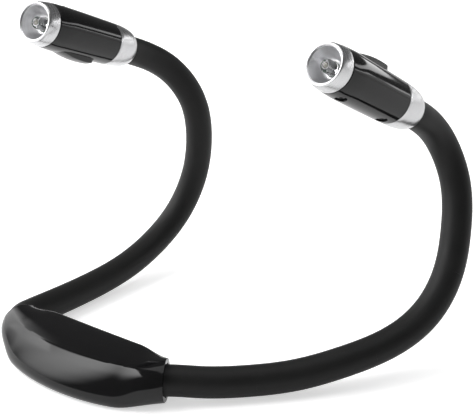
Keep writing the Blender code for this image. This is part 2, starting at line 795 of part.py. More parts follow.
def build_power(make, root):
    """Two cells side by side with their contacts, and the driver board beside them."""
    height = HOUSING_WALL + FIT_GAP + CELL_RADIUS
    half = CELL_LENGTH / 2
    plate_x = half + CELL_TIP_LENGTH + FIT_GAP
    rows = (-CELL_FRONT, -CELL_FRONT - CELL_SPACING)
    profile = (
        (0, half + CELL_TIP_LENGTH),
        (CELL_TIP_RADIUS, half + CELL_TIP_LENGTH),
        (CELL_TIP_RADIUS, half),
        (CELL_RADIUS, half),
        (CELL_RADIUS, -half),
        (0, -half),
    )
    for index, (across, way) in enumerate(zip(rows, (1, -1))):
        name = f"cell_{index + 1}"
        place = frame_at((0, across, height), (way, 0, 0), (0, 0, 1))
        make.piece(name, turned_mesh(name, profile, CELL_STEPS), place, root, "cell", False)
    low = height - CONTACT_HEIGHT / 2
    high = height + CONTACT_HEIGHT / 2
    spans = {
        "contact_bridge": (-1, rows[1] - CONTACT_REACH, rows[0] + CONTACT_REACH),
        "contact_positive": (1, rows[0] - CONTACT_REACH, rows[0] + CONTACT_REACH),
        "contact_negative": (1, rows[1] - CONTACT_REACH, rows[1] + CONTACT_REACH),
    }
    for name, (side, back, front) in spans.items():
        start = side * plate_x
        stop = side * (plate_x + CONTACT_THICKNESS)
        mesh = box_mesh(name, (min(start, stop), back, low), (max(start, stop), front, high))
        contact = make.piece(name, mesh, Matrix(), root, "contact", False)
        for across, way in zip(rows, (1, -1)):
            if not back < across < front or way == side:
                continue
            far = plate_x + CONTACT_THICKNESS / 2
            cone = bump_mesh(f"{name}_bump", CELL_RADIUS / 2, half + FIT_GAP, far)
            place = frame_at((0, across, height), (side, 0, 0), (0, 0, 1))
            make.cut(contact, make.cutter(f"{name}_bump", cone, place), "UNION")
    board_x = plate_x + CONTACT_THICKNESS + FIT_GAP
    back = -BOARD_FRONT - BOARD_WIDTH
    mesh = box_mesh(
        "driver_board",
        (board_x, back, height - BOARD_HEIGHT / 2),
        (board_x + BOARD_THICKNESS, -BOARD_FRONT, height + BOARD_HEIGHT / 2),
    )
    make.piece("driver_board", mesh, Matrix(), root, "board", False)


def bump_mesh(name, size, low, high):
    """A cone along Z from a narrow end at low to a wide one at high, which presses on a cell's flat end."""
    work = bmesh.new()
    bmesh.ops.create_cone(
        work, cap_ends=True, segments=ROUND_SIDES, radius1=size / 2, radius2=size, depth=high - low
    )
    bmesh.ops.translate(work, vec=(0, 0, (high + low) / 2), verts=work.verts)
    return finish_mesh(name, work)


def build_clamps(make, root, routes):
    """A ring each side that grips the arm's core inside the housing."""
    hole = CORE_RADIUS + FIT_GAP
    rim = min(HOUSING_HEIGHT, RING_SIZE) / 2 - HOUSING_WALL - CLAMP_INSET
    profile = (
        (hole, CLAMP_LENGTH),
        (rim - FIT_GAP, CLAMP_LENGTH),
        (rim, CLAMP_LENGTH - FIT_GAP),
        (rim, FIT_GAP),
        (rim - FIT_GAP, 0),
        (hole, 0),
    )
    for side, route in routes.items():
        name = f"{side}_arm_clamp"
        mesh = turned_mesh(name, profile, HEAD_STEPS)
        make.piece(name, mesh, route.frame(-CLAMP_SET_BACK), root, "clamp", False)


def shell_radius(height):
    """The head shell's outer radius at this height from the collar's rear."""
    places = (COLLAR_LENGTH, HEAD_LENGTH * WIDEST_SHARE, HEAD_LENGTH - BEZEL_LENGTH)
    radii = (SHELL_REAR_RADIUS, HEAD_RADIUS, SHELL_FRONT_RADIUS)
    return float(np.interp(height, places, radii))


def build_head(make, side, route, roll, parent):
    """The collar, the half shells, the bezel and what they hold; Z runs forward from the collar's rear."""
    up = frame_at(route.at(route.length), route.end, Vector((0, 0, 1)))
    head = up @ Matrix.Rotation(roll, 4, "Z")
    build_collar(make, side, head, parent)
    build_lamp(make, side, head, parent)
    upper, lower = build_head_shells(make, side, head, parent)
    build_button(make, side, head, parent, upper, lower)
    build_shell_screws(make, side, head, parent, upper, lower)


def build_collar(make, side, head, parent):
    name = f"{side}_rear_collar"
    hole = SLEEVE_RADIUS + FIT_GAP
    spigot = SHELL_REAR_RADIUS - SHELL_WALL - FIT_GAP
    profile = (
        (spigot, COLLAR_LENGTH + SPIGOT_LENGTH),
        (spigot, COLLAR_LENGTH),
        (COLLAR_FRONT_RADIUS, COLLAR_LENGTH),
        (COLLAR_FRONT_RADIUS, COLLAR_LENGTH * 5 / 6),
        (COLLAR_MIDDLE_RADIUS, COLLAR_LENGTH / 3),
        (COLLAR_REAR_RADIUS, COLLAR_LENGTH / 24),
        (COLLAR_REAR_RADIUS - FIT_GAP, 0),
        (hole, 0),
        (hole, SOCKET_DEPTH),
        (hole - SPIGOT_WALL, SOCKET_DEPTH),
        (hole - SPIGOT_WALL, COLLAR_LENGTH),
        (spigot - SPIGOT_WALL, COLLAR_LENGTH + SPIGOT_LENGTH / 2),
        (spigot - SPIGOT_WALL, COLLAR_LENGTH + SPIGOT_LENGTH),
    )
    make.piece(name, turned_mesh(name, profile, HEAD_STEPS), head, parent, "bezel", False)


def build_lamp(make, side, head, parent):
    """The bezel, the reflector bowl inside it, the LED and the disc that carries it."""
    rim = HEAD_LENGTH
    back = HEAD_LENGTH - BEZEL_LENGTH
    inside = SHELL_FRONT_RADIUS - SHELL_WALL - FIT_GAP
    wall = inside - SPIGOT_WALL
    name = f"{side}_front_bezel"
    profile = (
        (BOWL_RADIUS + FIT_GAP, rim),
        (RIM_RADIUS, rim),
        (RIM_RADIUS + FIT_GAP, rim - FIT_GAP),
        (SHELL_FRONT_RADIUS, back + FIT_GAP),
        (SHELL_FRONT_RADIUS - FIT_GAP, back),
        (inside, back),
        (inside, back - SPIGOT_LENGTH),
        (wall, back - SPIGOT_LENGTH),
        (wall, back),
        (BOWL_RADIUS, back + SPIGOT_LENGTH / 2),
        (BOWL_RADIUS, rim - FIT_GAP),
    )
    make.piece(name, turned_mesh(name, profile, HEAD_STEPS), head, parent, "bezel", False)
    name = f"{side}_reflector"
    lip = rim - 2 * FIT_GAP
    bowl = BOWL_RADIUS - FIT_GAP
    low = lip - REFLECTOR_DEPTH
    outside = bowl_points(bowl, REFLECTOR_THROAT + REFLECTOR_WALL, lip, low)
    inside_points = bowl_points(bowl - REFLECTOR_WALL, REFLECTOR_THROAT, lip, low + REFLECTOR_WALL)
    throat = ((REFLECTOR_THROAT + REFLECTOR_WALL, low), (REFLECTOR_THROAT, low))
    profile = outside[:-1] + throat + inside_points[::-1]
    make.piece(name, turned_mesh(name, profile, HEAD_STEPS), head, parent, "reflector")
    tip = rim - LED_RECESS
    base = tip - LED_LENGTH
    name = f"{side}_led"
    dome = [
        (LED_RADIUS * math.sin(angle), tip - LED_RADIUS + LED_RADIUS * math.cos(angle))
        for angle in np.linspace(0, math.pi / 2, LED_DOME_STEPS)
    ]
    profile = dome + [
        (LED_RADIUS, base + LED_FLANGE),
        (LED_FLANGE_RADIUS, base + LED_FLANGE),
        (LED_FLANGE_RADIUS, base),
        (0, base),
    ]
    make.piece(name, turned_mesh(name, profile, LED_STEPS), head, parent, "lens")
    name = f"{side}_led_board"
    top = base - FIT_GAP
    radius = wall - FIT_GAP
    mesh = cylinder_mesh(name, radius, top - LAMP_BOARD_THICKNESS, top, BOARD_SIDES)
    make.piece(name, mesh, head, parent, "board", False)


def bowl_points(rim, throat, high, low):
    """Points down a bowl whose wall steepens towards its rim, from high to low."""
    points = []
    for share in np.linspace(1, 0, BOWL_STEPS):
        radius = throat + (rim - throat) * share
        points.append((radius, low + (high - low) * share**2))
    return tuple(points)


def build_head_shells(make, side, head, parent):
    """The upper and lower halves of the head's barrel, parted along its axis."""
    low = COLLAR_LENGTH + FIT_GAP
    high = HEAD_LENGTH - BEZEL_LENGTH - FIT_GAP
    middle = HEAD_LENGTH * WIDEST_SHARE
    profile = (
        (SHELL_FRONT_RADIUS, high),
        (HEAD_RADIUS, middle),
        (SHELL_REAR_RADIUS + FIT_GAP, low + 2 * FIT_GAP),
        (SHELL_REAR_RADIUS, low),
        (SHELL_REAR_RADIUS - SHELL_WALL, low),
        (HEAD_RADIUS - SHELL_WALL, middle),
        (SHELL_FRONT_RADIUS - SHELL_WALL, high),
    )
    size = HEAD_RADIUS + CUT_MARGIN
    shells = []
    for name, start, stop in (("upper", FIT_GAP / 2, size), ("lower", -size, -FIT_GAP / 2)):
        node = f"{side}_{name}_shell"
        mesh = turned_mesh(node, profile, HEAD_STEPS)
        shell = make.piece(node, mesh, head, parent, "shell")
        half = box_mesh(node + "_half", (start, -size, 0), (stop, size, HEAD_LENGTH))
        make.cut(shell, make.cutter(node + "_half", half, head), "INTERSECT")
        shells.append(shell)
    return shells


def build_button(make, side, head, parent, upper, lower):
    """A ramped push button in a slot of the upper shell, and its switch on a post of the lower one."""
    front = HEAD_LENGTH - BUTTON_FRONT
    rear = front - BUTTON_LENGTH
    middle = (front + rear) / 2
    surface = shell_radius(middle)
    low = surface - SHELL_WALL - BUTTON_SKIRT
    high = HEAD_RADIUS + BUTTON_RISE + CUT_MARGIN
    radial = head @ Matrix.Translation((surface, 0, middle)) @ Matrix.Rotation(math.pi / 2, 4, "Y")
    edge = BUTTON_WIDTH / 2 + FIT_GAP
    floor = math.sqrt((surface - SHELL_WALL) ** 2 - edge**2) - BUTTON_SKIRT
    slot = rounded_plate_mesh(
        f"{side}_button_slot",
        BUTTON_LENGTH + 2 * FIT_GAP,
        2 * edge,
        BUTTON_CORNER + FIT_GAP,
        floor - surface,
        high - surface,
    )
    make.cut(upper, make.cutter(f"{side}_button_slot", slot, radial))
    axis = make.empty(f"{side}_button_axis", radial, parent)
    name = f"{side}_button"
    core = BUTTON_WIDTH / 2
    profile = [(shell_radius(front + CUT_MARGIN), front + CUT_MARGIN)]
    for share, rise in RAMP_SHARES:
        along = front - BUTTON_LENGTH * share
        profile.append((shell_radius(along) + BUTTON_RISE * rise, along))
    profile.append((shell_radius(rear), rear - CUT_MARGIN))
    profile += [(core, rear - CUT_MARGIN), (core, front + CUT_MARGIN)]
    mesh = turned_mesh(name, profile, HEAD_STEPS)
    mesh.transform(radial.inverted() @ head)
    button = make.piece(name, mesh, radial, axis, "button")
    outline = rounded_plate_mesh(
        name + "_outline", BUTTON_LENGTH, BUTTON_WIDTH, BUTTON_CORNER, low - surface, high - surface
    )
    make.cut(button, make.cutter(name + "_outline", outline, radial), "INTERSECT")
    face = low - BUTTON_TRAVEL - FIT_GAP / 2
    base = face - SWITCH_HEIGHT
    half = SWITCH_WIDTH / 2
    name = f"{side}_switch"
    rear_end, front_end = SWITCH_AT - SWITCH_LENGTH / 2, SWITCH_AT + SWITCH_LENGTH / 2
    mesh = box_mesh(name, (base, -half, rear_end), (face, half, front_end))
    make.piece(name, mesh, head, parent, "switch", False)
    wall = SHELL_REAR_RADIUS - SHELL_WALL / 2
    half = SWITCH_WIDTH / 3
    mesh = box_mesh(
        f"{side}_switch_post",
        (-wall, -half, SWITCH_AT - half),
        (base - FIT_GAP, half, SWITCH_AT + half),
    )
    make.cut(lower, make.cutter(f"{side}_switch_post", mesh, head), "UNION")


def build_shell_screws(make, side, head, parent, upper, lower):
    """Two screws that pass the lower shell's bosses into ribs across the upper shell."""
    for index, height in enumerate((HEAD_LENGTH - SHELL_SCREW_FRONT, HEAD_LENGTH - SHELL_SCREW_REAR)):
        tag = f"{side}_{('front', 'rear')[index]}"
        surface = shell_radius(height)
        place = head @ Matrix.Translation((-surface, 0, height)) @ Matrix.Rotation(-math.pi / 2, 4, "Y")
        wall = surface - SHELL_WALL / 2
        half = SHELL_BOSS_RADIUS
        rib = rib_mesh(f"{tag}_rib", wall, height - half, height + half)
        make.cut(upper, make.cutter(f"{tag}_rib", rib, head), "UNION")
        boss = cylinder_mesh(
            f"{tag}_boss", SHELL_BOSS_RADIUS, -surface + FIT_GAP / 2, -SHELL_WALL / 2, ROUND_SIDES
        )
        make.cut(lower, make.cutter(f"{tag}_boss", boss, place), "UNION")
        sunk = SHELL_RECESS_DEPTH - SHELL_SCREW_HEAD_LENGTH
        tip = sunk + SHELL_SCREW_LENGTH + SHELL_SCREW_RADIUS + FIT_GAP
        hole = cylinder_mesh(f"{tag}_hole", SHELL_SCREW_RADIUS + FIT_GAP, -tip, CUT_MARGIN, HOLE_SIDES)
        hole = make.cutter(f"{tag}_hole", hole, place)
        make.cut(lower, hole)
        make.cut(upper, hole)
        recess = cylinder_mesh(
            f"{tag}_recess", SHELL_RECESS_RADIUS, -SHELL_RECESS_DEPTH - FIT_GAP, CUT_MARGIN, ROUND_SIDES
        )
        make.cut(lower, make.cutter(f"{tag}_recess", recess, place))
        build_screw(
            make,
            f"{tag}_screw",
            place @ Matrix.Translation((0, 0, -sunk)),
            parent,
            (SHELL_SCREW_HEAD, SHELL_SCREW_HEAD_LENGTH, SHELL_SCREW_RADIUS, SHELL_SCREW_LENGTH),
        )


def rib_mesh(name, radius, low, high):
    """Part of a disc round Z, from just past the parting plane to the rib's height."""
    work = bmesh.new()
    bmesh.ops.create_cone(
        work, cap_ends=True, segments=HEAD_STEPS, radius1=radius, radius2=radius, depth=high - low
    )
    bmesh.ops.translate(work, vec=(0, 0, (high + low) / 2), verts=work.verts)
    for across, way in ((FIT_GAP / 2, -1), (RIB_HEIGHT, 1)):
        everything = work.verts[:] + work.edges[:] + work.faces[:]
        bmesh.ops.bisect_plane(
            work, geom=everything, plane_co=(across, 0, 0), plane_no=(way, 0, 0), clear_outer=True
        )
        rims = [edge for edge in work.edges if edge.is_boundary]
        bmesh.ops.holes_fill(work, edges=rims)
    return finish_mesh(name, work)


def main():
    clear_scene()
    make = Builder()
    routes = {
        "left": route_of(-1, LEFT_ROUTE_SHARES, LEFT_AIM),
        "right": route_of(1, RIGHT_ROUTE_SHARES, RIGHT_AIM),
    }
    rolls = {"left": LEFT_ROLL, "right": RIGHT_ROLL}
    root = make.empty("housing_base", Matrix())
    shell, cover = build_shells(make, root, routes)
    build_cover_screws(make, root, shell, cover)
    build_power(make, root)
    build_clamps(make, root, routes)
    for side, route in routes.items():
        last = build_arm(make, side, route, root)
        build_head(make, side, route, rolls[side], last)


if __name__ == "__main__":
    main()
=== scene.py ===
"""Looks of the neck reading light: its finishes, its detailed pieces and the studio it stands in."""

import math

import bpy
import bmesh
import numpy as np
from mathutils import Matrix, Vector


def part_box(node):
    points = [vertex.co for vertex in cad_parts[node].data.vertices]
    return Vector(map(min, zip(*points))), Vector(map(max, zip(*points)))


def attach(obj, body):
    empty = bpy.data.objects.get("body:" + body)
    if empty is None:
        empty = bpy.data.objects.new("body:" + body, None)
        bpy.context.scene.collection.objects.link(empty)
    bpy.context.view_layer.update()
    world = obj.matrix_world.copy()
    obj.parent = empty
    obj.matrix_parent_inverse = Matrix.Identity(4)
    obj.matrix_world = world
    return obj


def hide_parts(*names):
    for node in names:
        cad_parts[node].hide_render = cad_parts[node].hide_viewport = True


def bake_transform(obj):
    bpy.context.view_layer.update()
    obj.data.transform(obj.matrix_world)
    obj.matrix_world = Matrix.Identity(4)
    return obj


bl_info = {
    "name": "Neck Reading Light",
    "version": (1, 0, 0),
    "blender": (4, 5, 0),
    "location": "3D View > Sidebar > Reading Light",
    "description": "Builds a neck reading light with two bendable arms over its CAD frame",
    "category": "Object",
}

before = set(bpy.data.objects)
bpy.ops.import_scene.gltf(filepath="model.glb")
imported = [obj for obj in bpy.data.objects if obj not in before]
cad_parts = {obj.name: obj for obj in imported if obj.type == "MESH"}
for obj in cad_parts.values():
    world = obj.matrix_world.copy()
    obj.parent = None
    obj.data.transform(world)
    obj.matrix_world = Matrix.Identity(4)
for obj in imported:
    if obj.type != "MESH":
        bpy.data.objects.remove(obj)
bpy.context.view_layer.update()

HANDS = ("left", "right")
MERGE = 0.000002
# Edges sharper than this are rounded, or kept crisp in the shading
EDGE_ANGLE = math.radians(35)
# The same for pieces with fine edges, for round pieces and for pieces that are soft all over
FINE_ANGLE = math.radians(30)
ROUND_ANGLE = math.radians(40)
SOFT_ANGLE = math.radians(50)
# How many sides round pieces have
SMALL_SIDES = 32
SCREW_SIDES = 48
LAMP_SIDES = 64
RING_SIDES = 96
BARREL_SIDES = 128
OWN_PLACE = "own_place"

# The arms' routes from the housing's rings to the heads, as in the CAD, in tenths of a metre
ROUTES = {
    "left": (
        (-0.419, 0.019, 0.078),
        (-0.433, 0.080, 0.072),
        (-0.431, 0.200, 0.066),
        (-0.420, 0.400, 0.065),
        (-0.409, 0.620, 0.082),
        (-0.404, 0.817, 0.132),
        (-0.385, 0.975, 0.235),
        (-0.350, 1.058, 0.400),
        (-0.324, 1.068, 0.580),
        (-0.330, 1.025, 0.790),
        (-0.385, 0.935, 0.935),
        (-0.423, 0.742, 1.046),
        (-0.421, 0.6938, 1.0656),
    ),
    "right": (
        (0.475, 0.056, 0.074),
        (0.605, 0.180, 0.066),
        (0.730, 0.316, 0.072),
        (0.840, 0.460, 0.098),
        (0.935, 0.610, 0.136),
        (1.008, 0.770, 0.215),
        (1.030, 0.900, 0.340),
        (1.002, 1.010, 0.500),
        (0.950, 1.080, 0.660),
        (0.882, 1.056, 0.830),
        (0.851, 0.904, 0.96),
        (0.8444, 0.8589, 0.9851),
    ),
}
ROUTE_SCALE = 0.1
AIMS = {"left": (0.038, -0.926, 0.376), "right": (-0.126, -0.867, 0.482)}
ROLLS = {"left": math.radians(178), "right": math.radians(19)}
EXIT_ANGLE = math.radians(52)
ROUTE_STEPS = 600
BENDS = 5

# The housing's middle section: share of the way from outer wall to neck side, share of height
SECTION = (
    (0.915, 0.000),
    (0.520, 0.000),
    (0.135, 0.000),
    (0.055, 0.040),
    (0.012, 0.140),
    (0.000, 0.255),
    (0.022, 0.400),
    (0.086, 0.570),
    (0.176, 0.740),
    (0.258, 0.862),
    (0.291, 0.894),
    (0.337, 0.920),
    (0.487, 0.962),
    (0.648, 0.988),
    (0.776, 0.998),
    (0.830, 0.994),
    (0.868, 0.970),
    (0.913, 0.898),
    (0.958, 0.776),
    (0.990, 0.618),
    (1.000, 0.473),
    (0.994, 0.315),
    (0.981, 0.158),
    (0.955, 0.046),
)
RIDGE = 10
# The sharp corner that the section has at its ridge, in the same shares
RIDGE_CORNER = (0.2885, 0.9045)
RING_ANGLE = math.radians(60)
RING_ELLIPSE_ANGLE = math.radians(68)
BLEND_FROM = 0.62
# Least space between two of the housing's sections, as a share of the way to a ring
STATION_SPACE = 0.004
# Shares of the button's length and of its rise along its ramp, front to rear
RAMP = (
    (0.00, -0.02),
    (0.10, 0.23),
    (0.20, 0.44),
    (0.35, 0.72),
    (0.50, 0.90),
    (0.70, 1.00),
    (0.96, 0.94),
    (1.00, 0.45),
)


def length_setting(name, description, default):
    return bpy.props.FloatProperty(name=name, description=description, default=default, unit="LENGTH")


def colour_setting(name, description, default):
    return bpy.props.FloatVectorProperty(
        name=name, description=description, default=default, subtype="COLOR"
    )


class LightSizes(bpy.types.PropertyGroup):
    """Sizes of the reading light, in metres."""

    sleeve_radius: length_setting("Sleeve radius", "Outer radius of the rubber sleeve", 0.00594)
    bore_radius: length_setting("Sleeve bore", "Inner radius of the rubber sleeve", 0.0031)
    first_bend: length_setting("First bend", "From the housing's ring to the first joint", 0.0095)
    last_bend: length_setting("Last bend", "From the last joint to the head's collar", 0.012)
    soft_bend: length_setting("Soft bend", "How far each side of a joint the sleeve curves", 0.0085)
    half_length: length_setting("Half length", "Half the length of the housing's ellipse", 0.0453)
    depth: length_setting("Depth", "Depth of the housing's half ellipse", 0.0247)
    height: length_setting("Height", "Height of the housing", 0.0165)
    bulge: length_setting("Neck side", "How far the housing reaches towards the neck", 0.0065)
    wall: length_setting("Housing wall", "Wall of the housing's shells", 0.0015)
    end_wall: length_setting("End wall", "Wall behind the ring where an arm leaves", 0.002)
    ring_size: length_setting("Ring", "Diameter of the ring where an arm leaves the housing", 0.0168)
    ring_hole: length_setting("Ring hole", "Radius of the hole that an arm leaves by", 0.0064)
    seam_at: length_setting("Seam", "Where the cover meets the outer shell", 0.0008)
    seam_gap: length_setting("Seam gap", "Gap between the cover and the outer shell", 0.00024)
    ledge: length_setting("Ledge", "Height of the shell's edge under the cover", 0.002)
    head_length: length_setting("Head length", "From the collar's rear to the front rim", 0.0564)
    head_radius: length_setting("Head radius", "Widest radius of a lamp head", 0.0091)
    shell_wall: length_setting("Head wall", "Wall of a head's half shells", 0.0013)
    collar_length: length_setting("Collar length", "Length of the collar at a head's rear", 0.0131)
    bezel_length: length_setting("Bezel length", "Length of the metal ring at a head's front", 0.0055)
    button_length: length_setting("Button length", "Length of a head's push button", 0.0192)
    button_front: length_setting("Button front", "From the rim to the button's front", 0.0149)
    button_width: length_setting("Button width", "Width of a head's push button", 0.009)
    button_rise: length_setting("Button rise", "Height of the button's ramp", 0.0017)
    front_screw: length_setting("Front screw", "From the rim to a head's front screw", 0.0117)
    rear_screw: length_setting("Rear screw", "From the rim to a head's rear screw", 0.0382)


class LightColours(bpy.types.PropertyGroup):
    """Colours of the reading light."""

    gloss: colour_setting("Glossy plastic", "Housing and barrels", (0.006, 0.006, 0.0064))
    satin: colour_setting("Satin plastic", "Cover, door and buttons", (0.009, 0.009, 0.0095))
    rubber: colour_setting("Rubber", "Sleeves of the arms", (0.013, 0.013, 0.013))
    metal: colour_setting("Metal", "Front rings and collars", (0.64, 0.64, 0.65))
    floor: colour_setting("Floor", "Studio floor and backdrop", (0.92, 0.92, 0.92))


def settings():
    return bpy.context.scene.light_sizes


def colours():
    return bpy.context.scene.light_colours


# Places shared with the CAD


def framed(origin, forward, top):
    """The matrix whose Z runs forward and whose X is as near top as it can be."""
    z_axis = Vector(forward).normalized()
    x_axis = (Vector(top) - z_axis * Vector(top).dot(z_axis)).normalized()
    turn = Matrix((x_axis, z_axis.cross(x_axis), z_axis)).transposed().to_4x4()
    return Matrix.Translation(origin) @ turn


def ring_centre(side):
    """The middle of the ring on one end of the housing; side is -1 for left and 1 for right."""
    s = settings()
    x = s.half_length * math.sin(RING_ELLIPSE_ANGLE) - math.cos(RING_ANGLE) * s.ring_size / 2
    y = -s.depth * math.cos(RING_ELLIPSE_ANGLE) + math.sin(RING_ANGLE) * s.ring_size / 2
    return Vector((side * x, y, s.height / 2))


def exit_way(side):
    return Vector((side * math.sin(EXIT_ANGLE), math.cos(EXIT_ANGLE), 0))


class ArmRoute:
    """The middle line of an arm: a cubic spline measured along its length, straight beyond its ends."""

    def __init__(self, hand):
        side = HANDS.index(hand) * 2 - 1
        points = [tuple(ring_centre(side))] + [tuple(c * ROUTE_SCALE for c in p) for p in ROUTES[hand]]
        points = np.array(points)
        self.start = np.array(exit_way(side))
        self.end = np.array(Vector(AIMS[hand]).normalized())
        spans = np.linalg.norm(np.diff(points, axis=0), axis=1)
        slopes = self.slopes(points, spans)
        knots = np.concatenate([[0], np.cumsum(spans)])
        places = np.linspace(0, knots[-1], ROUTE_STEPS)
        index = np.clip(np.searchsorted(knots, places) - 1, 0, len(spans) - 1)
        span = spans[index][:, None]
        t = ((places - knots[index]) / spans[index])[:, None]
        self.fine = (
            (1 + 2 * t) * (1 - t) ** 2 * points[index]
            + t * (1 - t) ** 2 * span * slopes[index]
            + t**2 * (3 - 2 * t) * points[index + 1]
            + t**2 * (t - 1) * span * slopes[index + 1]
        )
        steps = np.linalg.norm(np.diff(self.fine, axis=0), axis=1)
        self.along = np.concatenate([[0], np.cumsum(steps)])
        self.length = float(self.along[-1])

    def slopes(self, points, spans):
        count = len(points)
        system = np.eye(count)
        wanted = np.zeros((count, 3))
        wanted[0], wanted[-1] = self.start, self.end
        for i in range(1, count - 1):
            before, after = spans[i - 1], spans[i]
            system[i, i - 1 : i + 2] = after, 2 * (before + after), before
            wanted[i] = 3 * (
                after * (points[i] - points[i - 1]) / before + before * (points[i + 1] - points[i]) / after
            )
        return np.linalg.solve(system, wanted)

    def at(self, distance):
        if distance < 0:
            return Vector(self.fine[0] + self.start * distance)
        if distance > self.length:
            return Vector(self.fine[-1] + self.end * (distance - self.length))
        return Vector([np.interp(distance, self.along, self.fine[:, axis]) for axis in range(3)])

    def bends(self):
        s = settings()
        pitch = (self.length - s.first_bend - s.last_bend) / (BENDS - 1)
        return [s.first_bend + pitch * i for i in range(BENDS)]

    def head_place(self, hand):
        """Where a head stands: Z forward from the collar's rear, X towards its button."""
        up = framed(self.at(self.length), self.end, (0, 0, 1))
        return up @ Matrix.Rotation(ROLLS[hand], 4, "Z")


# Modelling steps


def deselect():
    if bpy.context.mode != "OBJECT":
        bpy.ops.object.mode_set(mode="OBJECT")
    bpy.ops.object.select_all(action="DESELECT")


def open_piece(name):
    """Names the primitive just added and opens it for editing."""
    obj = bpy.context.object
    obj.name = name
    obj.data.name = name
    bpy.ops.object.mode_set(mode="EDIT")
    bpy.ops.mesh.select_all(action="SELECT")
    return obj


def close_piece(obj, rounding=0.0, segments=2, angle=EDGE_ANGLE):
    """Merges the piece's doubles, turns its faces outwards and rounds its edges."""
    bpy.ops.mesh.select_all(action="SELECT")
    bpy.ops.mesh.remove_doubles(threshold=MERGE)
    bpy.ops.mesh.normals_make_consistent(inside=False)
    bpy.ops.object.mode_set(mode="OBJECT")
    if rounding:
        round_edges(obj, rounding, segments, angle)
    smooth(obj, angle)
    return obj


def smooth(obj, angle=EDGE_ANGLE):
    pick(obj)
    bpy.ops.object.shade_smooth_by_angle(angle=angle)


def pick(obj):
    deselect()
    obj.select_set(True)
    bpy.context.view_layer.objects.active = obj


def apply_place():
    bpy.ops.object.transform_apply(location=True, rotation=True, scale=True)


def apply_modifier(obj, modifier):
    pick(obj)
    bpy.ops.object.modifier_apply(modifier=modifier.name)


def round_edges(obj, width, segments=2, angle=EDGE_ANGLE):
    modifier = obj.modifiers.new("round", "BEVEL")
    modifier.width = width
    modifier.segments = segments
    modifier.limit_method = "ANGLE"
    modifier.angle_limit = angle
    apply_modifier(obj, modifier)


def carve(obj, cutter, operation="DIFFERENCE"):
    """Cuts the cutter from the piece, or joins it on, and removes the cutter."""
    modifier = obj.modifiers.new("carve", "BOOLEAN")
    modifier.operation = operation
    modifier.solver = "EXACT"
    modifier.object = cutter
    apply_modifier(obj, modifier)
    bpy.data.objects.remove(cutter, do_unlink=True)
    return obj


def settle(obj, place):
    """Moves a piece drawn at the origin to its place, which then lies in its mesh."""
    remember = obj.data.attributes.new(OWN_PLACE, "FLOAT_VECTOR", "POINT")
    flat = np.zeros(len(obj.data.vertices) * 3, np.float32)
    obj.data.vertices.foreach_get("co", flat)
    remember.data.foreach_set("vector", flat)
    pick(obj)
    obj.matrix_world = place
    apply_place()
    return obj


def twin(obj, name):
    """A copy of the piece with its own mesh."""
    pick(obj)
    bpy.ops.object.duplicate(linked=False)
    made = bpy.context.object
    made.name = name
    made.data.name = name
    return made


def dress(obj, material):
    obj.data.materials.clear()
    obj.data.materials.append(material)
    return obj


def turned(name, profile, sides=RING_SIDES):
    """A round piece about Z, drawn ring by ring from a circle along (radius, height) points."""
    deselect()
    radius, height = profile[0]
    bpy.ops.mesh.primitive_circle_add(vertices=sides, radius=radius, location=(0, 0, height))
    obj = open_piece(name)
    bpy.ops.object.mode_set(mode="OBJECT")
    apply_place()
    bpy.ops.object.mode_set(mode="EDIT")
    for (before, low), (after, high) in zip(profile, profile[1:]):
        bpy.ops.mesh.extrude_region_move(TRANSFORM_OT_translate={"value": (0, 0, high - low)})
        factor = after / before
        bpy.ops.transform.resize(value=(factor, factor, 1), center_override=(0, 0, 0))
    return obj


def block(name, low, high):
    """A box opened for editing, from its lowest to its highest corner."""
    deselect()
    low, high = Vector(low), Vector(high)
    bpy.ops.mesh.primitive_cube_add(size=1, location=(low + high) / 2, scale=high - low)
    apply_place()
    return open_piece(name)


def pick_edges(test):
    """Selects the edges of the open piece that pass the test, and nothing else."""
    work = bmesh.from_edit_mesh(bpy.context.object.data)
    bpy.ops.mesh.select_all(action="DESELECT")
    bpy.ops.mesh.select_mode(type="EDGE")
    for edge in work.edges:
        edge.select_set(test(edge))
    work.select_flush_mode()
    bmesh.update_edit_mesh(bpy.context.object.data)


def is_upright(edge):
    return (edge.verts[0].co - edge.verts[1].co).xy.length < MERGE


def plate(name, length, width, corner, low, high, segments=6):
    """A plate in X and Y round the origin, with rounded upright corners."""
    obj = block(name, (-length / 2, -width / 2, low), (length / 2, width / 2, high))
    pick_edges(is_upright)
    bpy.ops.mesh.bevel(offset=corner, segments=segments, profile=0.5, affect="EDGES")
    bpy.ops.mesh.select_mode(type="VERT")
    return obj


def arc(centre, radius, start, stop, steps):
    """Points along part of a circle in a profile, angles in degrees from the radius axis."""
    found = []
    for i in range(steps + 1):
        angle = math.radians(start + (stop - start) * i / steps)
        found.append((centre[0] + radius * math.cos(angle), centre[1] + radius * math.sin(angle)))
    return found


def cap_ends(obj, top=True):
    """Closes the open ends of a round piece and finishes it; the top is its last ring."""
    if top:
        bpy.ops.mesh.edge_face_add()
    work = bmesh.from_edit_mesh(obj.data)
    lowest = min(v.co.z for v in work.verts)
    pick_edges(lambda edge: all(v.co.z < lowest + MERGE for v in edge.verts))
    bpy.ops.mesh.edge_face_add()
    return close_piece(obj)


def sink_screw(shell, place, boss, recess):
    """Joins a screw's boss to the inside of a shell and cuts the screw's recess into its face."""
    post = cap_ends(turned("boss", boss, SMALL_SIDES))
    post.matrix_world = place
    carve(shell, post, "UNION")
    hollow = cap_ends(turned("recess", recess, SCREW_SIDES))
    hollow.matrix_world = place
    carve(shell, hollow)


# Finishes

# How far a lathe line drifts for each radian round the piece, in metres
LINE_DRIFT = 0.00012
DUST_COLOUR = (0.32, 0.31, 0.30)
# Most of a noise texture's values lie in this range
NOISE_RANGE = (0.3, 0.7)
# Dust: how many specks to a metre, which of them show, and how far up a face looks to hold them
SPECKS = 2600
SPECK_RANGE = (0.55, 0.75)
LOOKS_UP = (0.2, 1.0)
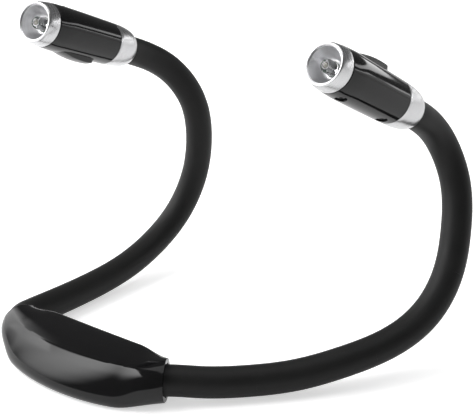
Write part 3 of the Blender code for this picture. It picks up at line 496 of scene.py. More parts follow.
# The tones of a colour's patches, darkest and lightest
DARK_TONE = 0.8
LIGHT_TONE = 1.25
# The depth of the finest grain, in metres
FINE_DEPTH = 0.00001


def group_of(name, inputs, outputs):
    """A shader node group with its sockets, and its input and output nodes."""
    tree = bpy.data.node_groups.new(name, "ShaderNodeTree")
    for label, kind, default in inputs:
        socket = tree.interface.new_socket(label, in_out="INPUT", socket_type=kind)
        if default is not None:
            socket.default_value = default
    for label, kind in outputs:
        tree.interface.new_socket(label, in_out="OUTPUT", socket_type=kind)
    return tree, tree.nodes.new("NodeGroupInput"), tree.nodes.new("NodeGroupOutput")


def add_node(tree, kind, **values):
    node = tree.nodes.new(kind)
    for key, value in values.items():
        setattr(node, key, value)
    return node


def feed(tree, socket, value):
    """Links a node's output into the socket, or sets the socket's own value."""
    if isinstance(value, bpy.types.NodeSocket):
        tree.links.new(value, socket)
    else:
        socket.default_value = value


def fed(tree, node, **values):
    """The node, its inputs of these names fed with outputs or numbers."""
    for label, value in values.items():
        feed(tree, node.inputs[label], value)
    return node


def result_of(tree, kind, *values, **options):
    """The first output of a new node, its inputs fed in their order."""
    node = add_node(tree, kind, **options)
    for socket, value in zip(node.inputs, values):
        feed(tree, socket, value)
    return node.outputs[0]


def worked(tree, operation, *values):
    return result_of(tree, "ShaderNodeMath", *values, operation=operation)


def combined(tree, *values):
    return result_of(tree, "ShaderNodeCombineXYZ", *values)


def split(tree, vector):
    return tuple(fed(tree, add_node(tree, "ShaderNodeSeparateXYZ"), Vector=vector).outputs)


def noise(tree, **values):
    return fed(tree, add_node(tree, "ShaderNodeTexNoise"), **values).outputs["Fac"]


def object_place(tree):
    return add_node(tree, "ShaderNodeTexCoord").outputs["Object"]


def ranged(tree, value, low, high, to_low=0.0, to_high=1.0):
    """The value moved from one range into another."""
    return result_of(tree, "ShaderNodeMapRange", value, low, high, to_low, to_high)


def blended(tree, share, first, second):
    """A mix of two colours, of which either can be an output."""
    node = add_node(tree, "ShaderNodeMix", data_type="RGBA")
    tree.links.new(share, node.inputs["Factor"])
    for label, value in (("A", first), ("B", second)):
        linked = isinstance(value, bpy.types.NodeSocket)
        feed(tree, node.inputs[label], value if linked else (*value[:3], 1))
    return node.outputs["Result"]


def toned(colour, share):
    return [part * share for part in colour]


def moulded_grain():
    """Fine grain of a moulded surface: a height and slow patches of handling."""
    tree, start, end = group_of(
        "Moulded grain",
        (
            ("Vector", "NodeSocketVector", None),
            ("Grain", "NodeSocketFloat", 6000.0),
            ("Patches", "NodeSocketFloat", 90.0),
        ),
        (("Height", "NodeSocketFloat"), ("Patch", "NodeSocketFloat")),
    )
    place, grain, patches = list(start.outputs)[:3]
    fine = noise(tree, Vector=place, Scale=grain, Detail=3)
    slow = noise(tree, Vector=place, Scale=patches, Detail=4, Roughness=0.6)
    fed(tree, end, Height=fine, Patch=slow)
    return tree


def settled_dust():
    """A mask of thin dust: on faces that look up, broken by noise."""
    tree, start, end = group_of(
        "Settled dust",
        (("Vector", "NodeSocketVector", None), ("Amount", "NodeSocketFloat", 0.1)),
        (("Mask", "NodeSocketFloat"),),
    )
    _, _, up = split(tree, add_node(tree, "ShaderNodeNewGeometry").outputs["Normal"])
    specks = noise(tree, Vector=start.outputs["Vector"], Scale=SPECKS, Detail=2)
    settled = worked(tree, "MULTIPLY", ranged(tree, up, *LOOKS_UP), ranged(tree, specks, *SPECK_RANGE))
    fed(tree, end, Mask=worked(tree, "MULTIPLY", settled, start.outputs["Amount"]))
    return tree


def lathe_lines():
    """Fine lines round a turned piece, from its own place before it was settled."""
    tree, start, end = group_of(
        "Lathe lines",
        (("Vector", "NodeSocketVector", None), ("Lines", "NodeSocketFloat", 9000.0)),
        (("Height", "NodeSocketFloat"), ("Streak", "NodeSocketFloat")),
    )
    x, y, z = split(tree, start.outputs["Vector"])
    reach = add_node(tree, "ShaderNodeVectorMath", operation="LENGTH")
    tree.links.new(combined(tree, x, y), reach.inputs[0])
    drift = worked(tree, "MULTIPLY", worked(tree, "ARCTAN2", y, x), LINE_DRIFT)
    place = combined(tree, reach.outputs["Value"], z, drift)
    lines = noise(tree, Vector=place, Scale=start.outputs["Lines"], Detail=2)
    fed(tree, end, Height=lines, Streak=ranged(tree, lines, *NOISE_RANGE))
    return tree


def shared_effect(make):
    """The node group that make builds, built once."""
    title = make.__name__.replace("_", " ").capitalize()
    return bpy.data.node_groups.get(title) or make()


def new_finish(name, metallic=0.0):
    """A new material, its node tree and its shader."""
    material = bpy.data.materials.new(name)
    material.use_nodes = True
    tree = material.node_tree
    shader = tree.nodes["Principled BSDF"]
    shader.inputs["Metallic"].default_value = metallic
    return material, tree, shader


def use_effect(tree, make, vector, **values):
    node = add_node(tree, "ShaderNodeGroup", node_tree=shared_effect(make))
    return fed(tree, node, Vector=vector, **values)


def coat(tree, shader, colour, roughness, height, strength, distance):
    """Feeds the shader a colour, a roughness and a bump from the height."""
    bump = fed(tree, add_node(tree, "ShaderNodeBump"), Strength=strength, Distance=distance, Height=height)
    feed(tree, shader.inputs["Base Color"], colour)
    fed(tree, shader, Roughness=roughness, Normal=bump.outputs["Normal"])


def finish(name, make, *values):
    """The material of this name, made the first time it is used."""
    return bpy.data.materials.get(name) or make(name, *values)


def plastic(name, colour, roughness, spread, grain, depth, dust, shine=0.5):
    """Moulded plastic: its grain, patches of handling and a little dust."""
    material, tree, shader = new_finish(name)
    shader.inputs["Specular IOR Level"].default_value = shine
    place = object_place(tree)
    surface = use_effect(tree, moulded_grain, place, Grain=grain)
    dusty = use_effect(tree, settled_dust, place, Amount=dust)
    patch = surface.outputs["Patch"]
    varied = blended(tree, patch, toned(colour, DARK_TONE), toned(colour, LIGHT_TONE))
    base = blended(tree, dusty.outputs["Mask"], varied, DUST_COLOUR)
    sheen = ranged(tree, patch, *NOISE_RANGE, roughness - spread, roughness + spread)
    coat(tree, shader, base, sheen, surface.outputs["Height"], 0.25, depth)
    return material


def turned_metal(name, colour, roughness, lines, depth):
    """Metal with fine lathe lines round it."""
    material, tree, shader = new_finish(name, metallic=1.0)
    place = add_node(tree, "ShaderNodeAttribute", attribute_name=OWN_PLACE).outputs["Vector"]
    brushed = use_effect(tree, lathe_lines, place, Lines=lines)
    streak = brushed.outputs["Streak"]
    base = blended(tree, streak, toned(colour, 0.9), colour)
    sheen = ranged(tree, streak, 0.0, 1.0, roughness - 0.05, roughness + 0.06)
    coat(tree, shader, base, sheen, brushed.outputs["Height"], 0.3, depth)
    return material


def plain_metal(name, colour, roughness):
    """Metal with fine grain, for parts seen only through gaps."""
    material, tree, shader = new_finish(name, metallic=1.0)
    surface = use_effect(tree, moulded_grain, object_place(tree), Grain=3500.0)
    patch = surface.outputs["Patch"]
    base = blended(tree, patch, toned(colour, DARK_TONE), colour)
    sheen = ranged(tree, patch, *NOISE_RANGE, roughness - 0.06, roughness + 0.06)
    coat(tree, shader, base, sheen, surface.outputs["Height"], 0.2, FINE_DEPTH)
    return material


def clear_plastic(name, index):
    """Clear cast plastic of this refractive index, with the least unevenness."""
    material, tree, shader = new_finish(name)
    shader.inputs["Transmission Weight"].default_value = 1.0
    shader.inputs["IOR"].default_value = index
    surface = use_effect(tree, moulded_grain, object_place(tree), Grain=900.0)
    base = blended(tree, surface.outputs["Patch"], (0.96, 0.97, 0.98), (1.0, 1.0, 1.0))
    coat(tree, shader, base, 0.03, surface.outputs["Height"], 0.05, FINE_DEPTH)
    return material


# After the colour, a plastic's values are roughness, spread, grain, depth, dust and shine


def gloss_plastic():
    values = (0.08, 0.02, 2500.0, 0.000003, 0.01, 0.32)
    return finish("Glossy black plastic", plastic, colours().gloss, *values)


def satin_plastic():
    values = (0.24, 0.04, 5200.0, 0.00001, 0.02, 0.35)
    return finish("Satin black plastic", plastic, colours().satin, *values)


def soft_rubber():
    values = (0.5, 0.05, 4200.0, 0.00003, 0.02, 0.2)
    return finish("Soft black rubber", plastic, colours().rubber, *values)


def brushed_metal():
    return finish("Brushed metal", turned_metal, colours().metal, 0.26, 9000.0, 0.00001)


def bowl_metal():
    bright = toned(colours().metal, 1.35)
    return finish("Satin bowl metal", turned_metal, bright, 0.36, 3000.0, 0.00001)


def screw_metal():
    return finish("Blackened screw", plain_metal, (0.12, 0.12, 0.125), 0.35)


# The housing's form


def smoothstep(value):
    value = min(max(value, 0), 1)
    return value * value * (3 - 2 * value)


def station(share):
    """Outer and neck-side points of the upright section plane, share running from -1 to 1."""
    s = settings()
    reach = math.sin(RING_ELLIPSE_ANGLE) * share
    outer = Vector((s.half_length * reach, -s.depth * math.sqrt(1 - reach**2), 0))
    across = Vector((-math.cos(RING_ANGLE), math.sin(RING_ANGLE), 0))
    end = ring_centre(1) + across * s.ring_size / 2
    bulge = s.bulge + (end.y - s.bulge) * share**2
    return outer, Vector((end.x * share, bulge, 0))


def section_points(share, inset):
    """The section from the ridge over the top, down the neck side, along the floor and up to the ridge."""
    s = settings()
    outer, inner = station(share)
    across = (inner - outer).length
    blend = smoothstep((abs(share) - BLEND_FROM) / (1 - BLEND_FROM))
    shrink_across = 1 - 2 * inset / across
    shrink_up = 1 - 2 * inset / s.height
    loop = (RIDGE_CORNER,) + SECTION[RIDGE + 1 :] + SECTION[:RIDGE] + (RIDGE_CORNER,)
    points = []
    for along, up in loop:
        x_part, z_part = 2 * along - 1, 2 * up - 1
        reach = math.hypot(x_part, z_part)
        x_part += (x_part / reach - x_part) * blend
        z_part += (z_part / reach - z_part) * blend
        flat = (outer + inner) / 2 + (inner - outer) / 2 * x_part * shrink_across
        points.append(np.array((flat.x, flat.y, s.height / 2 * (1 + z_part * shrink_up))))
    return points


def curved(points, steps=10):
    """A finer line through the points, each span with the slopes of its neighbours."""
    s = settings()
    found = []
    ends = [2 * points[0] - points[1]] + points + [2 * points[-1] - points[-2]]
    for a, b, c, d in zip(ends, ends[1:], ends[2:], ends[3:]):
        ab, bc, cd = (max(np.linalg.norm(q - p), MERGE) ** 0.5 for p, q in ((a, b), (b, c), (c, d)))
        leave = (b - a) / ab - (c - a) / (ab + bc) + (c - b) / bc
        reach = (c - b) / bc - (d - b) / (bc + cd) + (d - c) / cd
        for i in range(steps):
            t = i / steps
            point = (
                (2 * t**3 - 3 * t**2 + 1) * b
                + (t**3 - 2 * t**2 + t) * bc * leave
                + (3 * t**2 - 2 * t**3) * c
                + (t**3 - t**2) * bc * reach
            )
            found.append(point)
    found.append(points[-1])
    line = np.array(found)
    line[:, 2] = np.clip(line[:, 2], 0, s.height)
    return line


def crossing(line, values, level):
    """The distance along the line at which the values first pass the level."""
    lengths = np.concatenate([[0], np.cumsum(np.linalg.norm(np.diff(line, axis=0), axis=1))])
    for i in range(len(values) - 1):
        if (values[i] - level) * (values[i + 1] - level) <= 0 and values[i] != values[i + 1]:
            t = (level - values[i]) / (values[i + 1] - values[i])
            return lengths[i] + t * (lengths[i + 1] - lengths[i]), lengths
    raise ValueError("the section doesn't pass the level")


def spaced(line, lengths, start, stop, count):
    """Points evenly spaced between two distances along the line."""
    wanted = np.linspace(start, stop, count)
    return np.stack([np.interp(wanted, lengths, line[:, axis]) for axis in range(3)], axis=1)


def shell_chain(share, inset, columns):
    """The outer shell's part of a section: from the ledge under the cover, round to the top seam."""
    s = settings()
    line = curved(section_points(share, inset))
    seam, lengths = crossing(line, line[:, 1], s.seam_at - s.seam_gap / 2)
    ledge, _ = crossing(line, line[:, 2], s.ledge - s.seam_gap / 2)
    floor = spaced(line, lengths, ledge, lengths[-1], columns[0])
    top = spaced(line, lengths, 0, seam, columns[1])
    return np.concatenate([floor, top[1:]])


def cover_chain(share, inset, columns):
    """The cover's part of a section: from the top seam down the neck side to the ledge."""
    s = settings()
    line = curved(section_points(share, inset))
    seam, lengths = crossing(line, line[:, 1], s.seam_at + s.seam_gap / 2)
    ledge, _ = crossing(line, line[:, 2], s.ledge + s.seam_gap / 2)
    return spaced(line, lengths, seam, ledge, columns[0])


def hole_chain(rim, side, depth):
    """The rim's points drawn in to the hole of the ring, at a depth behind the ring's face."""
    s = settings()
    centre = ring_centre(side)
    points = []
    for point in rim:
        away = Vector(point) - centre
        points.append(tuple(centre + away.normalized() * s.ring_hole - exit_way(side) * depth))
    return np.array(points)


def shell_rows(chain, columns, stations):
    """Closed wall sections from ring to ring: outer line there, inner line back."""
    s = settings()
    reach = 1 - s.end_wall / (ring_centre(1).x * math.sin(RING_ANGLE))
    rims = {side: chain(side, 0, columns) for side in (-1, 1)}
    shares = [math.sin((i / (stations - 1) - 1 / 2) * math.pi) for i in range(stations)]
    shares = sorted([share for share in shares if abs(abs(share) - reach) > STATION_SPACE] + [-reach, reach])
    rows = []
    for share in shares:
        side = -1 if share < 0 else 1
        outer = chain(share, 0, columns)
        past = abs(share) - reach
        depth = s.end_wall * (1 - max(past, 0) / (1 - reach))
        hole = hole_chain(rims[side], side, depth)
        walled = (outer, chain(share, s.wall, columns)) if past <= MERGE else None
        tube = (outer, hole) if past >= -MERGE else None
        closed = (hole, hole) if abs(share) == 1 else None
        found = [pair for pair in (closed, tube, walled) if pair]
        rows += found if side < 0 else found[::-1]
    return [np.concatenate([outer, inner[::-1], outer[:1]]) for outer, inner in rows]


def lofted(name, rows):
    """A grid whose rows are placed on the sections, then merged into a closed wall."""
    across, along = len(rows[0]) - 1, len(rows) - 1
    deselect()
    bpy.ops.mesh.primitive_grid_add(x_subdivisions=across, y_subdivisions=along, size=2)
    obj = bpy.context.object
    places = np.array(rows)
    for vertex in obj.data.vertices:
        column = round((vertex.co.x + 1) / 2 * across)
        row = round((vertex.co.y + 1) / 2 * along)
        vertex.co = places[row, column]
    open_piece(name)
    return obj


def cover_screw_place(hand, lift=0.0):
    """Where a cover screw's face is, lifted off it, with Z out of the cover."""
    low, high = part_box(f"{hand}_cover_screw")
    middle = (low + high) / 2
    return framed((middle.x, high.y + lift, middle.z), (0, 1, 0), (0, 0, 1))


# Faces round and along the housing's shells, and their rounded edges
SHELL_COLUMNS = (72, 26)
COVER_COLUMNS = (40,)
STATIONS = 73
SHELL_ROUNDING = 0.00028
COVER_ROUNDING = 0.00045
ROUNDED_ANGLE = math.radians(44)
SHADED_ANGLE = math.radians(28)
# The battery door's opening
DOOR_MIDDLE = -0.0065
OPENING_LENGTH = 0.046
OPENING_WIDTH = 0.0186
OPENING_CORNER = 0.0015
OPENING_LOW = -0.002
OPENING_HIGH = 0.0035
# A cover screw's boss and recess, in radii and heights over the cover's face
COVER_FACE = 0.0004
COVER_BOSS = ((0.0026, -0.0044), (0.0026, -0.0004))
COVER_RECESS = ((0.002, -0.0019), (0.002, -0.0002), (0.0023, 0.0006))


class LIGHT_OT_housing(bpy.types.Operator):
    """Model the housing's outer shell and its cover"""

    bl_idname = "light.housing"
    bl_label = "Housing shells"

    def execute(self, context):
        shell = lofted("housing_outer_shell", shell_rows(shell_chain, SHELL_COLUMNS, STATIONS))
        close_piece(shell, SHELL_ROUNDING, 3, ROUNDED_ANGLE)
        cover = lofted("housing_back_cover", shell_rows(cover_chain, COVER_COLUMNS, STATIONS))
        close_piece(cover, COVER_ROUNDING, 3, ROUNDED_ANGLE)
        opening = plate(
            "door_opening", OPENING_LENGTH, OPENING_WIDTH, OPENING_CORNER, OPENING_LOW, OPENING_HIGH
        )
        close_piece(opening)
        opening.location.y = DOOR_MIDDLE
        carve(shell, opening)
        for hand in HANDS:
            sink_screw(cover, cover_screw_place(hand, COVER_FACE), COVER_BOSS, COVER_RECESS)
        smooth(shell, SHADED_ANGLE)
        smooth(cover, SHADED_ANGLE)
        dress(shell, gloss_plastic())
        dress(cover, gloss_plastic())
        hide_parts("outer_shell")
        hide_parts("back_cover")
        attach(shell, "housing")
        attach(cover, "housing")
        return {"FINISHED"}


DOOR_CORNER = 0.0012
DOOR_ROUNDING = 0.0002
# The grooves by which the door is gripped, counted from its end
GRIPS = 3
GRIP_WIDTH = 0.0009
GRIP_LENGTH = 0.008
GRIP_CORNER = 0.0004
GRIP_LOW = -0.001
GRIP_DEPTH = 0.0005
GRIP_FROM_END = 0.0074
GRIP_PITCH = 0.0024


class LIGHT_OT_door(bpy.types.Operator):
    """Model the battery door under the housing"""

    bl_idname = "light.door"
    bl_label = "Battery door"

    def execute(self, context):
        low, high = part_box("battery_door")
        middle = (low + high) / 2
        size = high - low
        door = plate("housing_battery_door", size.x, size.y, DOOR_CORNER, 0, size.z)
        close_piece(door, DOOR_ROUNDING)
        for index in range(GRIPS):
            grip = plate("grip", GRIP_WIDTH, GRIP_LENGTH, GRIP_CORNER, GRIP_LOW, GRIP_DEPTH, 3)
            close_piece(grip)
            grip.location.x = size.x / 2 - GRIP_FROM_END + (index - 1) * GRIP_PITCH
            carve(door, grip)
        smooth(door)
        settle(door, Matrix.Translation((middle.x, middle.y, low.z)))
        dress(door, satin_plastic())
        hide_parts("battery_door")
        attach(door, "housing")
        return {"FINISHED"}


# How far a sleeve reaches into the housing and over the head's collar, and the length of its faces
SLEEVE_ROOT = 0.0023
SLEEVE_SEAT = 0.0077
SLEEVE_STEP = 0.0009
# How finely the sleeve is round
SLEEVE_RESOLUTION = 10


class LIGHT_OT_sleeves(bpy.types.Operator):
    """Model each arm's rubber sleeve in lengths that meet midway between its joints"""

    bl_idname = "light.sleeves"
    bl_label = "Sleeves"

    def execute(self, context):
        rubber = soft_rubber()
        for hand in HANDS:
            route = ArmRoute(hand)
            bends = route.bends()
            middles = [(a + b) / 2 for a, b in zip(bends, bends[1:])]
            cuts = [-SLEEVE_ROOT] + middles + [route.length + SLEEVE_SEAT]
            for i, (start, stop) in enumerate(zip(cuts, cuts[1:])):
                piece = self.length_of(f"{hand}_sleeve_length_{i + 1}", route, start, stop)
                dress(piece, rubber)
                nodes = [f"{hand}_sleeve_{i + 2}"] + ([f"{hand}_sleeve_1"] if i == 0 else [])
                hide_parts(*nodes)
                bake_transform(piece)
        return {"FINISHED"}

    def length_of(self, name, route, start, stop):
        """A hollow length of sleeve between two distances along the route."""
        s = settings()
        count = round((stop - start) / SLEEVE_STEP) + 1
        deselect()
        bpy.ops.curve.primitive_nurbs_path_add()
        obj = bpy.context.object
        obj.name = name
        curve = obj.data
        curve.splines.clear()
        line = curve.splines.new("POLY")
        line.points.add(count - 1)
        for point, distance in zip(line.points, np.linspace(start, stop, count)):
            point.co = (*route.at(distance), 1)
        curve.bevel_depth = s.sleeve_radius
        curve.bevel_resolution = SLEEVE_RESOLUTION
        bpy.ops.object.convert(target="MESH")
        obj = bpy.context.object
        open_piece(name)
        bpy.ops.mesh.remove_doubles(threshold=MERGE)
        bpy.ops.mesh.normals_make_consistent(inside=False)
        bpy.ops.object.mode_set(mode="OBJECT")
        wall = obj.modifiers.new("wall", "SOLIDIFY")
        wall.thickness = s.sleeve_radius - s.bore_radius
        wall.offset = -1
        apply_modifier(obj, wall)
        smooth(obj, ROUND_ANGLE)
        return obj


RING_ROUNDING = 0.00012
RING_EDGE_ANGLE = math.radians(25)
# Outer radius of the front ring and the collar where they meet the barrel
RING_OUTSIDE = 0.0087
# Radii inside the front ring and the collar, and of the spigots by which they plug into the barrel
BEZEL_BORE = 0.0071
BEZEL_SPIGOT = 0.0061
COLLAR_SHOULDER = 0.0072
COLLAR_SPIGOT = 0.0062
COLLAR_BORE = 0.0063
COLLAR_SEAT = 0.0053
SPIGOT_LENGTH = 0.0022
SPIGOT_SLOPE = 0.0011
SEAT_DEPTH = 0.008
LIP = 0.0006
# The bowl: its radius and depth at the lamp, and how far it widens and rises to its rim
BOWL_FOOT = 0.0028
BOWL_WIDENING = 0.0038
BOWL_DEPTH = 0.0062
BOWL_RISE = 0.0056
BOWL_STEPS = 20
BOWL_WALL = 0.0003
BOWL_DROP = 0.0002


class LIGHT_OT_rings(bpy.types.Operator):
    """Model the heads' front rings, bowls and rear collars"""

    bl_idname = "light.rings"
    bl_label = "Rings and bowls"

    def execute(self, context):
        bezel = close_piece(turned("front_ring", self.bezel_line()), RING_ROUNDING, angle=RING_EDGE_ANGLE)
        bowl = close_piece(turned("bowl", self.bowl_line()), angle=ROUND_ANGLE)
        collar = close_piece(turned("collar", self.collar_line()), RING_ROUNDING, angle=RING_EDGE_ANGLE)
        parts = (
            (bezel, "front_bezel", "front_ring", brushed_metal(), "bezel"),
            (bowl, "reflector", "bowl", bowl_metal(), "reflector"),
            (collar, "rear_collar", "collar", brushed_metal(), "bezel"),
        )
        for first, node, title, material, slot in parts:
            fit_to_heads(first, title, material, (node,))
        return {"FINISHED"}

    def bezel_line(self):
        """The front ring's profile, with the spigot that plugs into the barrel."""
        s = settings()
        rim, back = s.head_length, s.head_length - s.bezel_length
        line = [
            (BEZEL_BORE, rim - LIP),
            (BEZEL_BORE, rim),
            (0.0076, rim),
            (0.0079, rim - LIP / 2),
            (0.0081, rim - LIP * 3 / 2),
            (RING_OUTSIDE, back + 0.0002),
            (0.0085, back),
            (BEZEL_BORE, back),
            (BEZEL_BORE, back - SPIGOT_LENGTH),
            (BEZEL_SPIGOT, back - SPIGOT_LENGTH),
            (BEZEL_SPIGOT, back),
            (0.0069, back + SPIGOT_SLOPE),
            (0.0069, rim - LIP),
        ]
        return line + line[:1]

    def bowl_line(self):
        """The bowl's parabola, outside and inside."""
        s = settings()
        foot = s.head_length - BOWL_DEPTH
        shares = np.linspace(0, 1, BOWL_STEPS)
        inside = [(BOWL_FOOT + BOWL_WIDENING * u, foot + BOWL_RISE * u**2) for u in shares]
        outside = [(r + BOWL_WALL, z - BOWL_DROP) for r, z in inside]
        return outside + inside[::-1] + outside[:1]

    def collar_line(self):
        """The rear collar's profile, which draws in to the sleeve's end."""
        long = settings().collar_length
        line = [
            (COLLAR_SHOULDER, long + SPIGOT_LENGTH),
            (COLLAR_SHOULDER, long),
            (RING_OUTSIDE, long),
            (RING_OUTSIDE, long * 5 / 6),
            (0.0086, long * 4 / 7),
            (0.0083, long / 3),
            (0.0080, long / 5),
            (0.0076, long / 10),
            (COLLAR_SHOULDER, long / 24),
            (0.0068, 0),
            (COLLAR_BORE, 0),
            (COLLAR_BORE, SEAT_DEPTH),
            (COLLAR_SEAT, SEAT_DEPTH),
            (COLLAR_SEAT, long),
            (COLLAR_SPIGOT, long + SPIGOT_SLOPE),
            (COLLAR_SPIGOT, long + SPIGOT_LENGTH),
        ]
        return line + line[:1]


def fit_to_heads(first, title, material, nodes, body="head"):
    """Puts the piece on the left head and a copy of it on the right one."""
    pieces = {"left": first, "right": twin(first, f"right_{title}")}
    for hand, piece in pieces.items():
        piece.name = f"{hand}_head_{title}"
        piece.data.name = piece.name
        settle(piece, ArmRoute(hand).head_place(hand))
        dress(piece, material)
        if nodes:
            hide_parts(*[f"{hand}_{node}" for node in nodes])
        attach(piece, f"{hand}_{body}")


# A radius so small that it stands for a turned piece's axis
AXIS = 0.00001
# The lamp's body and the flange at its base
LAMP_LENGTH = 0.0067
LAMP_RADIUS = 0.0025
FLANGE_RADIUS = 0.0029
FLANGE_HEIGHT = 0.001
LAMP_ROUNDING = 0.00006
# The dome's first angle in degrees, near its tip, and its steps down to the side
DOME_START = 88
DOME_STEPS = 12
# The leads inside: half their thickness, where they start, and each one's sides and top over the base
HALF_LEAD = 0.0002
LEAD_FOOT = 0.0003
POST = (-0.0014, -0.0003, 0.0042)
ANVIL = (0.0002, 0.0015, 0.0046)
LEAD_ROUNDING = 0.00005
# Radii and heights over the base of the cup on the lead and the phosphor in it
CUP = ((0.0003, 0.0044), (0.0009, 0.0046), (0.0012, 0.0052), (0.001, 0.0052), (0.0003, 0.0047))
PHOSPHOR = ((0.0008, 0.0049), (0.0006, 0.0053), (AXIS, 0.0054))


class LIGHT_OT_lamps(bpy.types.Operator):
    """Model the clear lamps with the metal frame inside them"""

    bl_idname = "light.lamps"
    bl_label = "Lamps"

    def execute(self, context):
        tip = settings().head_length
        base = tip - LAMP_LENGTH
        dome = arc((0, tip - LAMP_RADIUS), LAMP_RADIUS, DOME_START, 0, DOME_STEPS)
        flange = [
            (LAMP_RADIUS, base + FLANGE_HEIGHT),
            (FLANGE_RADIUS, base + FLANGE_HEIGHT),
            (FLANGE_RADIUS, base),
        ]
        lamp = turned("lamp", [(AXIS, tip)] + dome + flange + [(AXIS, base)], LAMP_SIDES)
        close_piece(lamp, LAMP_ROUNDING, angle=SOFT_ANGLE)
        fit_to_heads(lamp, "lamp", finish("Clear epoxy", clear_plastic, 1.5), ("led",))
        post = self.lead("lamp_frame", base, *POST)
        anvil = self.lead("anvil", base, *ANVIL)
        cup = cap_ends(turned("cup", self.raised(CUP, base), SMALL_SIDES))
        pick(cup)
        anvil.select_set(True)
        post.select_set(True)
        bpy.context.view_layer.objects.active = post
        bpy.ops.object.join()
        tinned = finish("Tinned lamp frame", plain_metal, (0.4, 0.4, 0.41), 0.3)
        fit_to_heads(post, "lamp_frame", tinned, ())
        chip = cap_ends(turned("phosphor", self.raised(PHOSPHOR, base), SMALL_SIDES), top=False)
        values = (0.6, 0.05, 3000.0, 0.00001, 0.0)
        pale = finish("Lamp phosphor", plastic, (0.36, 0.35, 0.31), *values)
        fit_to_heads(chip, "phosphor", pale, ())
        return {"FINISHED"}

    def raised(self, points, base):
        return [(radius, base + height) for radius, height in points]

    def lead(self, name, base, near, far, top):
        """One of the two upright leads inside the lamp."""
        bar = block(name, (near, -HALF_LEAD, base + LEAD_FOOT), (far, HALF_LEAD, base + top))
        return close_piece(bar, LEAD_ROUNDING)


# The barrel's radius where it meets the collar; at the front ring it is the ring's own
COLLAR_END = 0.0088


def barrel_radius(height):
    """The head shell's outer radius at this height from the collar's rear, swelling softly to its widest."""
    s = settings()
    widest = s.head_length * 3 / 4
    if height < widest:
        share = (widest - height) / (widest - s.collar_length)
        end = COLLAR_END
    else:
        share = (height - widest) / (s.head_length - s.bezel_length - widest)
        end = RING_OUTSIDE
    return s.head_radius + (end - s.head_radius) * (1 - math.cos(math.pi / 2 * min(share, 1)))


def barrel_face(height, sunk=0.0):
    """A place on the barrel's screw side, with Z outwards, sunk below its face."""
    place = Matrix.Translation((-barrel_radius(height) + sunk, 0, height))
    return place @ Matrix.Rotation(-math.pi / 2, 4, "Y")


END_GAP = 0.0002
BARREL_ROUNDING = 0.0002
BARREL_RINGS = 25
BORE_RINGS = 7
HALF_SEAM = 0.00006
# The slot for the button, and a head screw's boss and recess in radii and heights over the barrel's face
SLOT_GAP = 0.0005
SLOT_CORNER = 0.0018
SLOT_LOW = 0.004
SLOT_HIGH = 0.012
HEAD_BOSS = ((0.0026, -0.0062), (0.0026, -0.0006))
HEAD_RECESS = ((0.0022, -0.002), (0.0022, -0.0003), (0.0025, 0.0004))


class LIGHT_OT_barrels(bpy.types.Operator):
    """Model the two half shells of each head's barrel"""

    bl_idname = "light.barrels"
    bl_label = "Barrels"

    def execute(self, context):
        s = settings()
        halves = [self.half("upper_barrel", 1), self.half("lower_barrel", -1)]
        upper, lower = halves
        middle = s.head_length - s.button_front - s.button_length / 2
        long, wide = s.button_length + SLOT_GAP, s.button_width + SLOT_GAP
        slot = plate("slot", long, wide, SLOT_CORNER, SLOT_LOW, SLOT_HIGH, 8)
        close_piece(slot)
        slot.matrix_world = Matrix.Translation((0, 0, middle)) @ Matrix.Rotation(math.pi / 2, 4, "Y")
        carve(upper, slot)
        for back in (s.front_screw, s.rear_screw):
            sink_screw(lower, barrel_face(s.head_length - back), HEAD_BOSS, HEAD_RECESS)
        for half in halves:
            smooth(half, FINE_ANGLE)
        fit_to_heads(upper, "upper_barrel", gloss_plastic(), ("upper_shell",))
        fit_to_heads(lower, "lower_barrel", gloss_plastic(), ("lower_shell",))
        return {"FINISHED"}

    def half(self, name, way):
        """The half shell on one side of the seam; way is 1 for the button's side."""
        s = settings()
        low, high = s.collar_length + END_GAP, s.head_length - s.bezel_length - END_GAP
        heights = np.linspace(low + BARREL_ROUNDING, high - BARREL_ROUNDING, BARREL_RINGS)
        outside = [(barrel_radius(z), z) for z in heights]
        first, last = outside[0][0], outside[-1][0]
        outside = [(first - BARREL_ROUNDING, low)] + outside + [(last - BARREL_ROUNDING, high)]
        inside = [(barrel_radius(z) - s.shell_wall, z) for z in np.linspace(high, low, BORE_RINGS)]
        half = turned(name, outside + inside + outside[:1], BARREL_SIDES)
        bpy.ops.mesh.select_all(action="SELECT")
        bpy.ops.mesh.remove_doubles(threshold=MERGE)
        bpy.ops.mesh.bisect(
            plane_co=(way * HALF_SEAM, 0, 0), plane_no=(-way, 0, 0), use_fill=True, clear_outer=True
        )
        return close_piece(half)


BUTTON_CORNER = 0.0016
BUTTON_DEPTH = 0.0009
BUTTON_ROUNDING = 0.00035
BUTTON_ROWS = 45
BUTTON_COLUMNS = 25
# How many neighbours the ramp's smoothing takes in
RAMP_WINDOW = 5


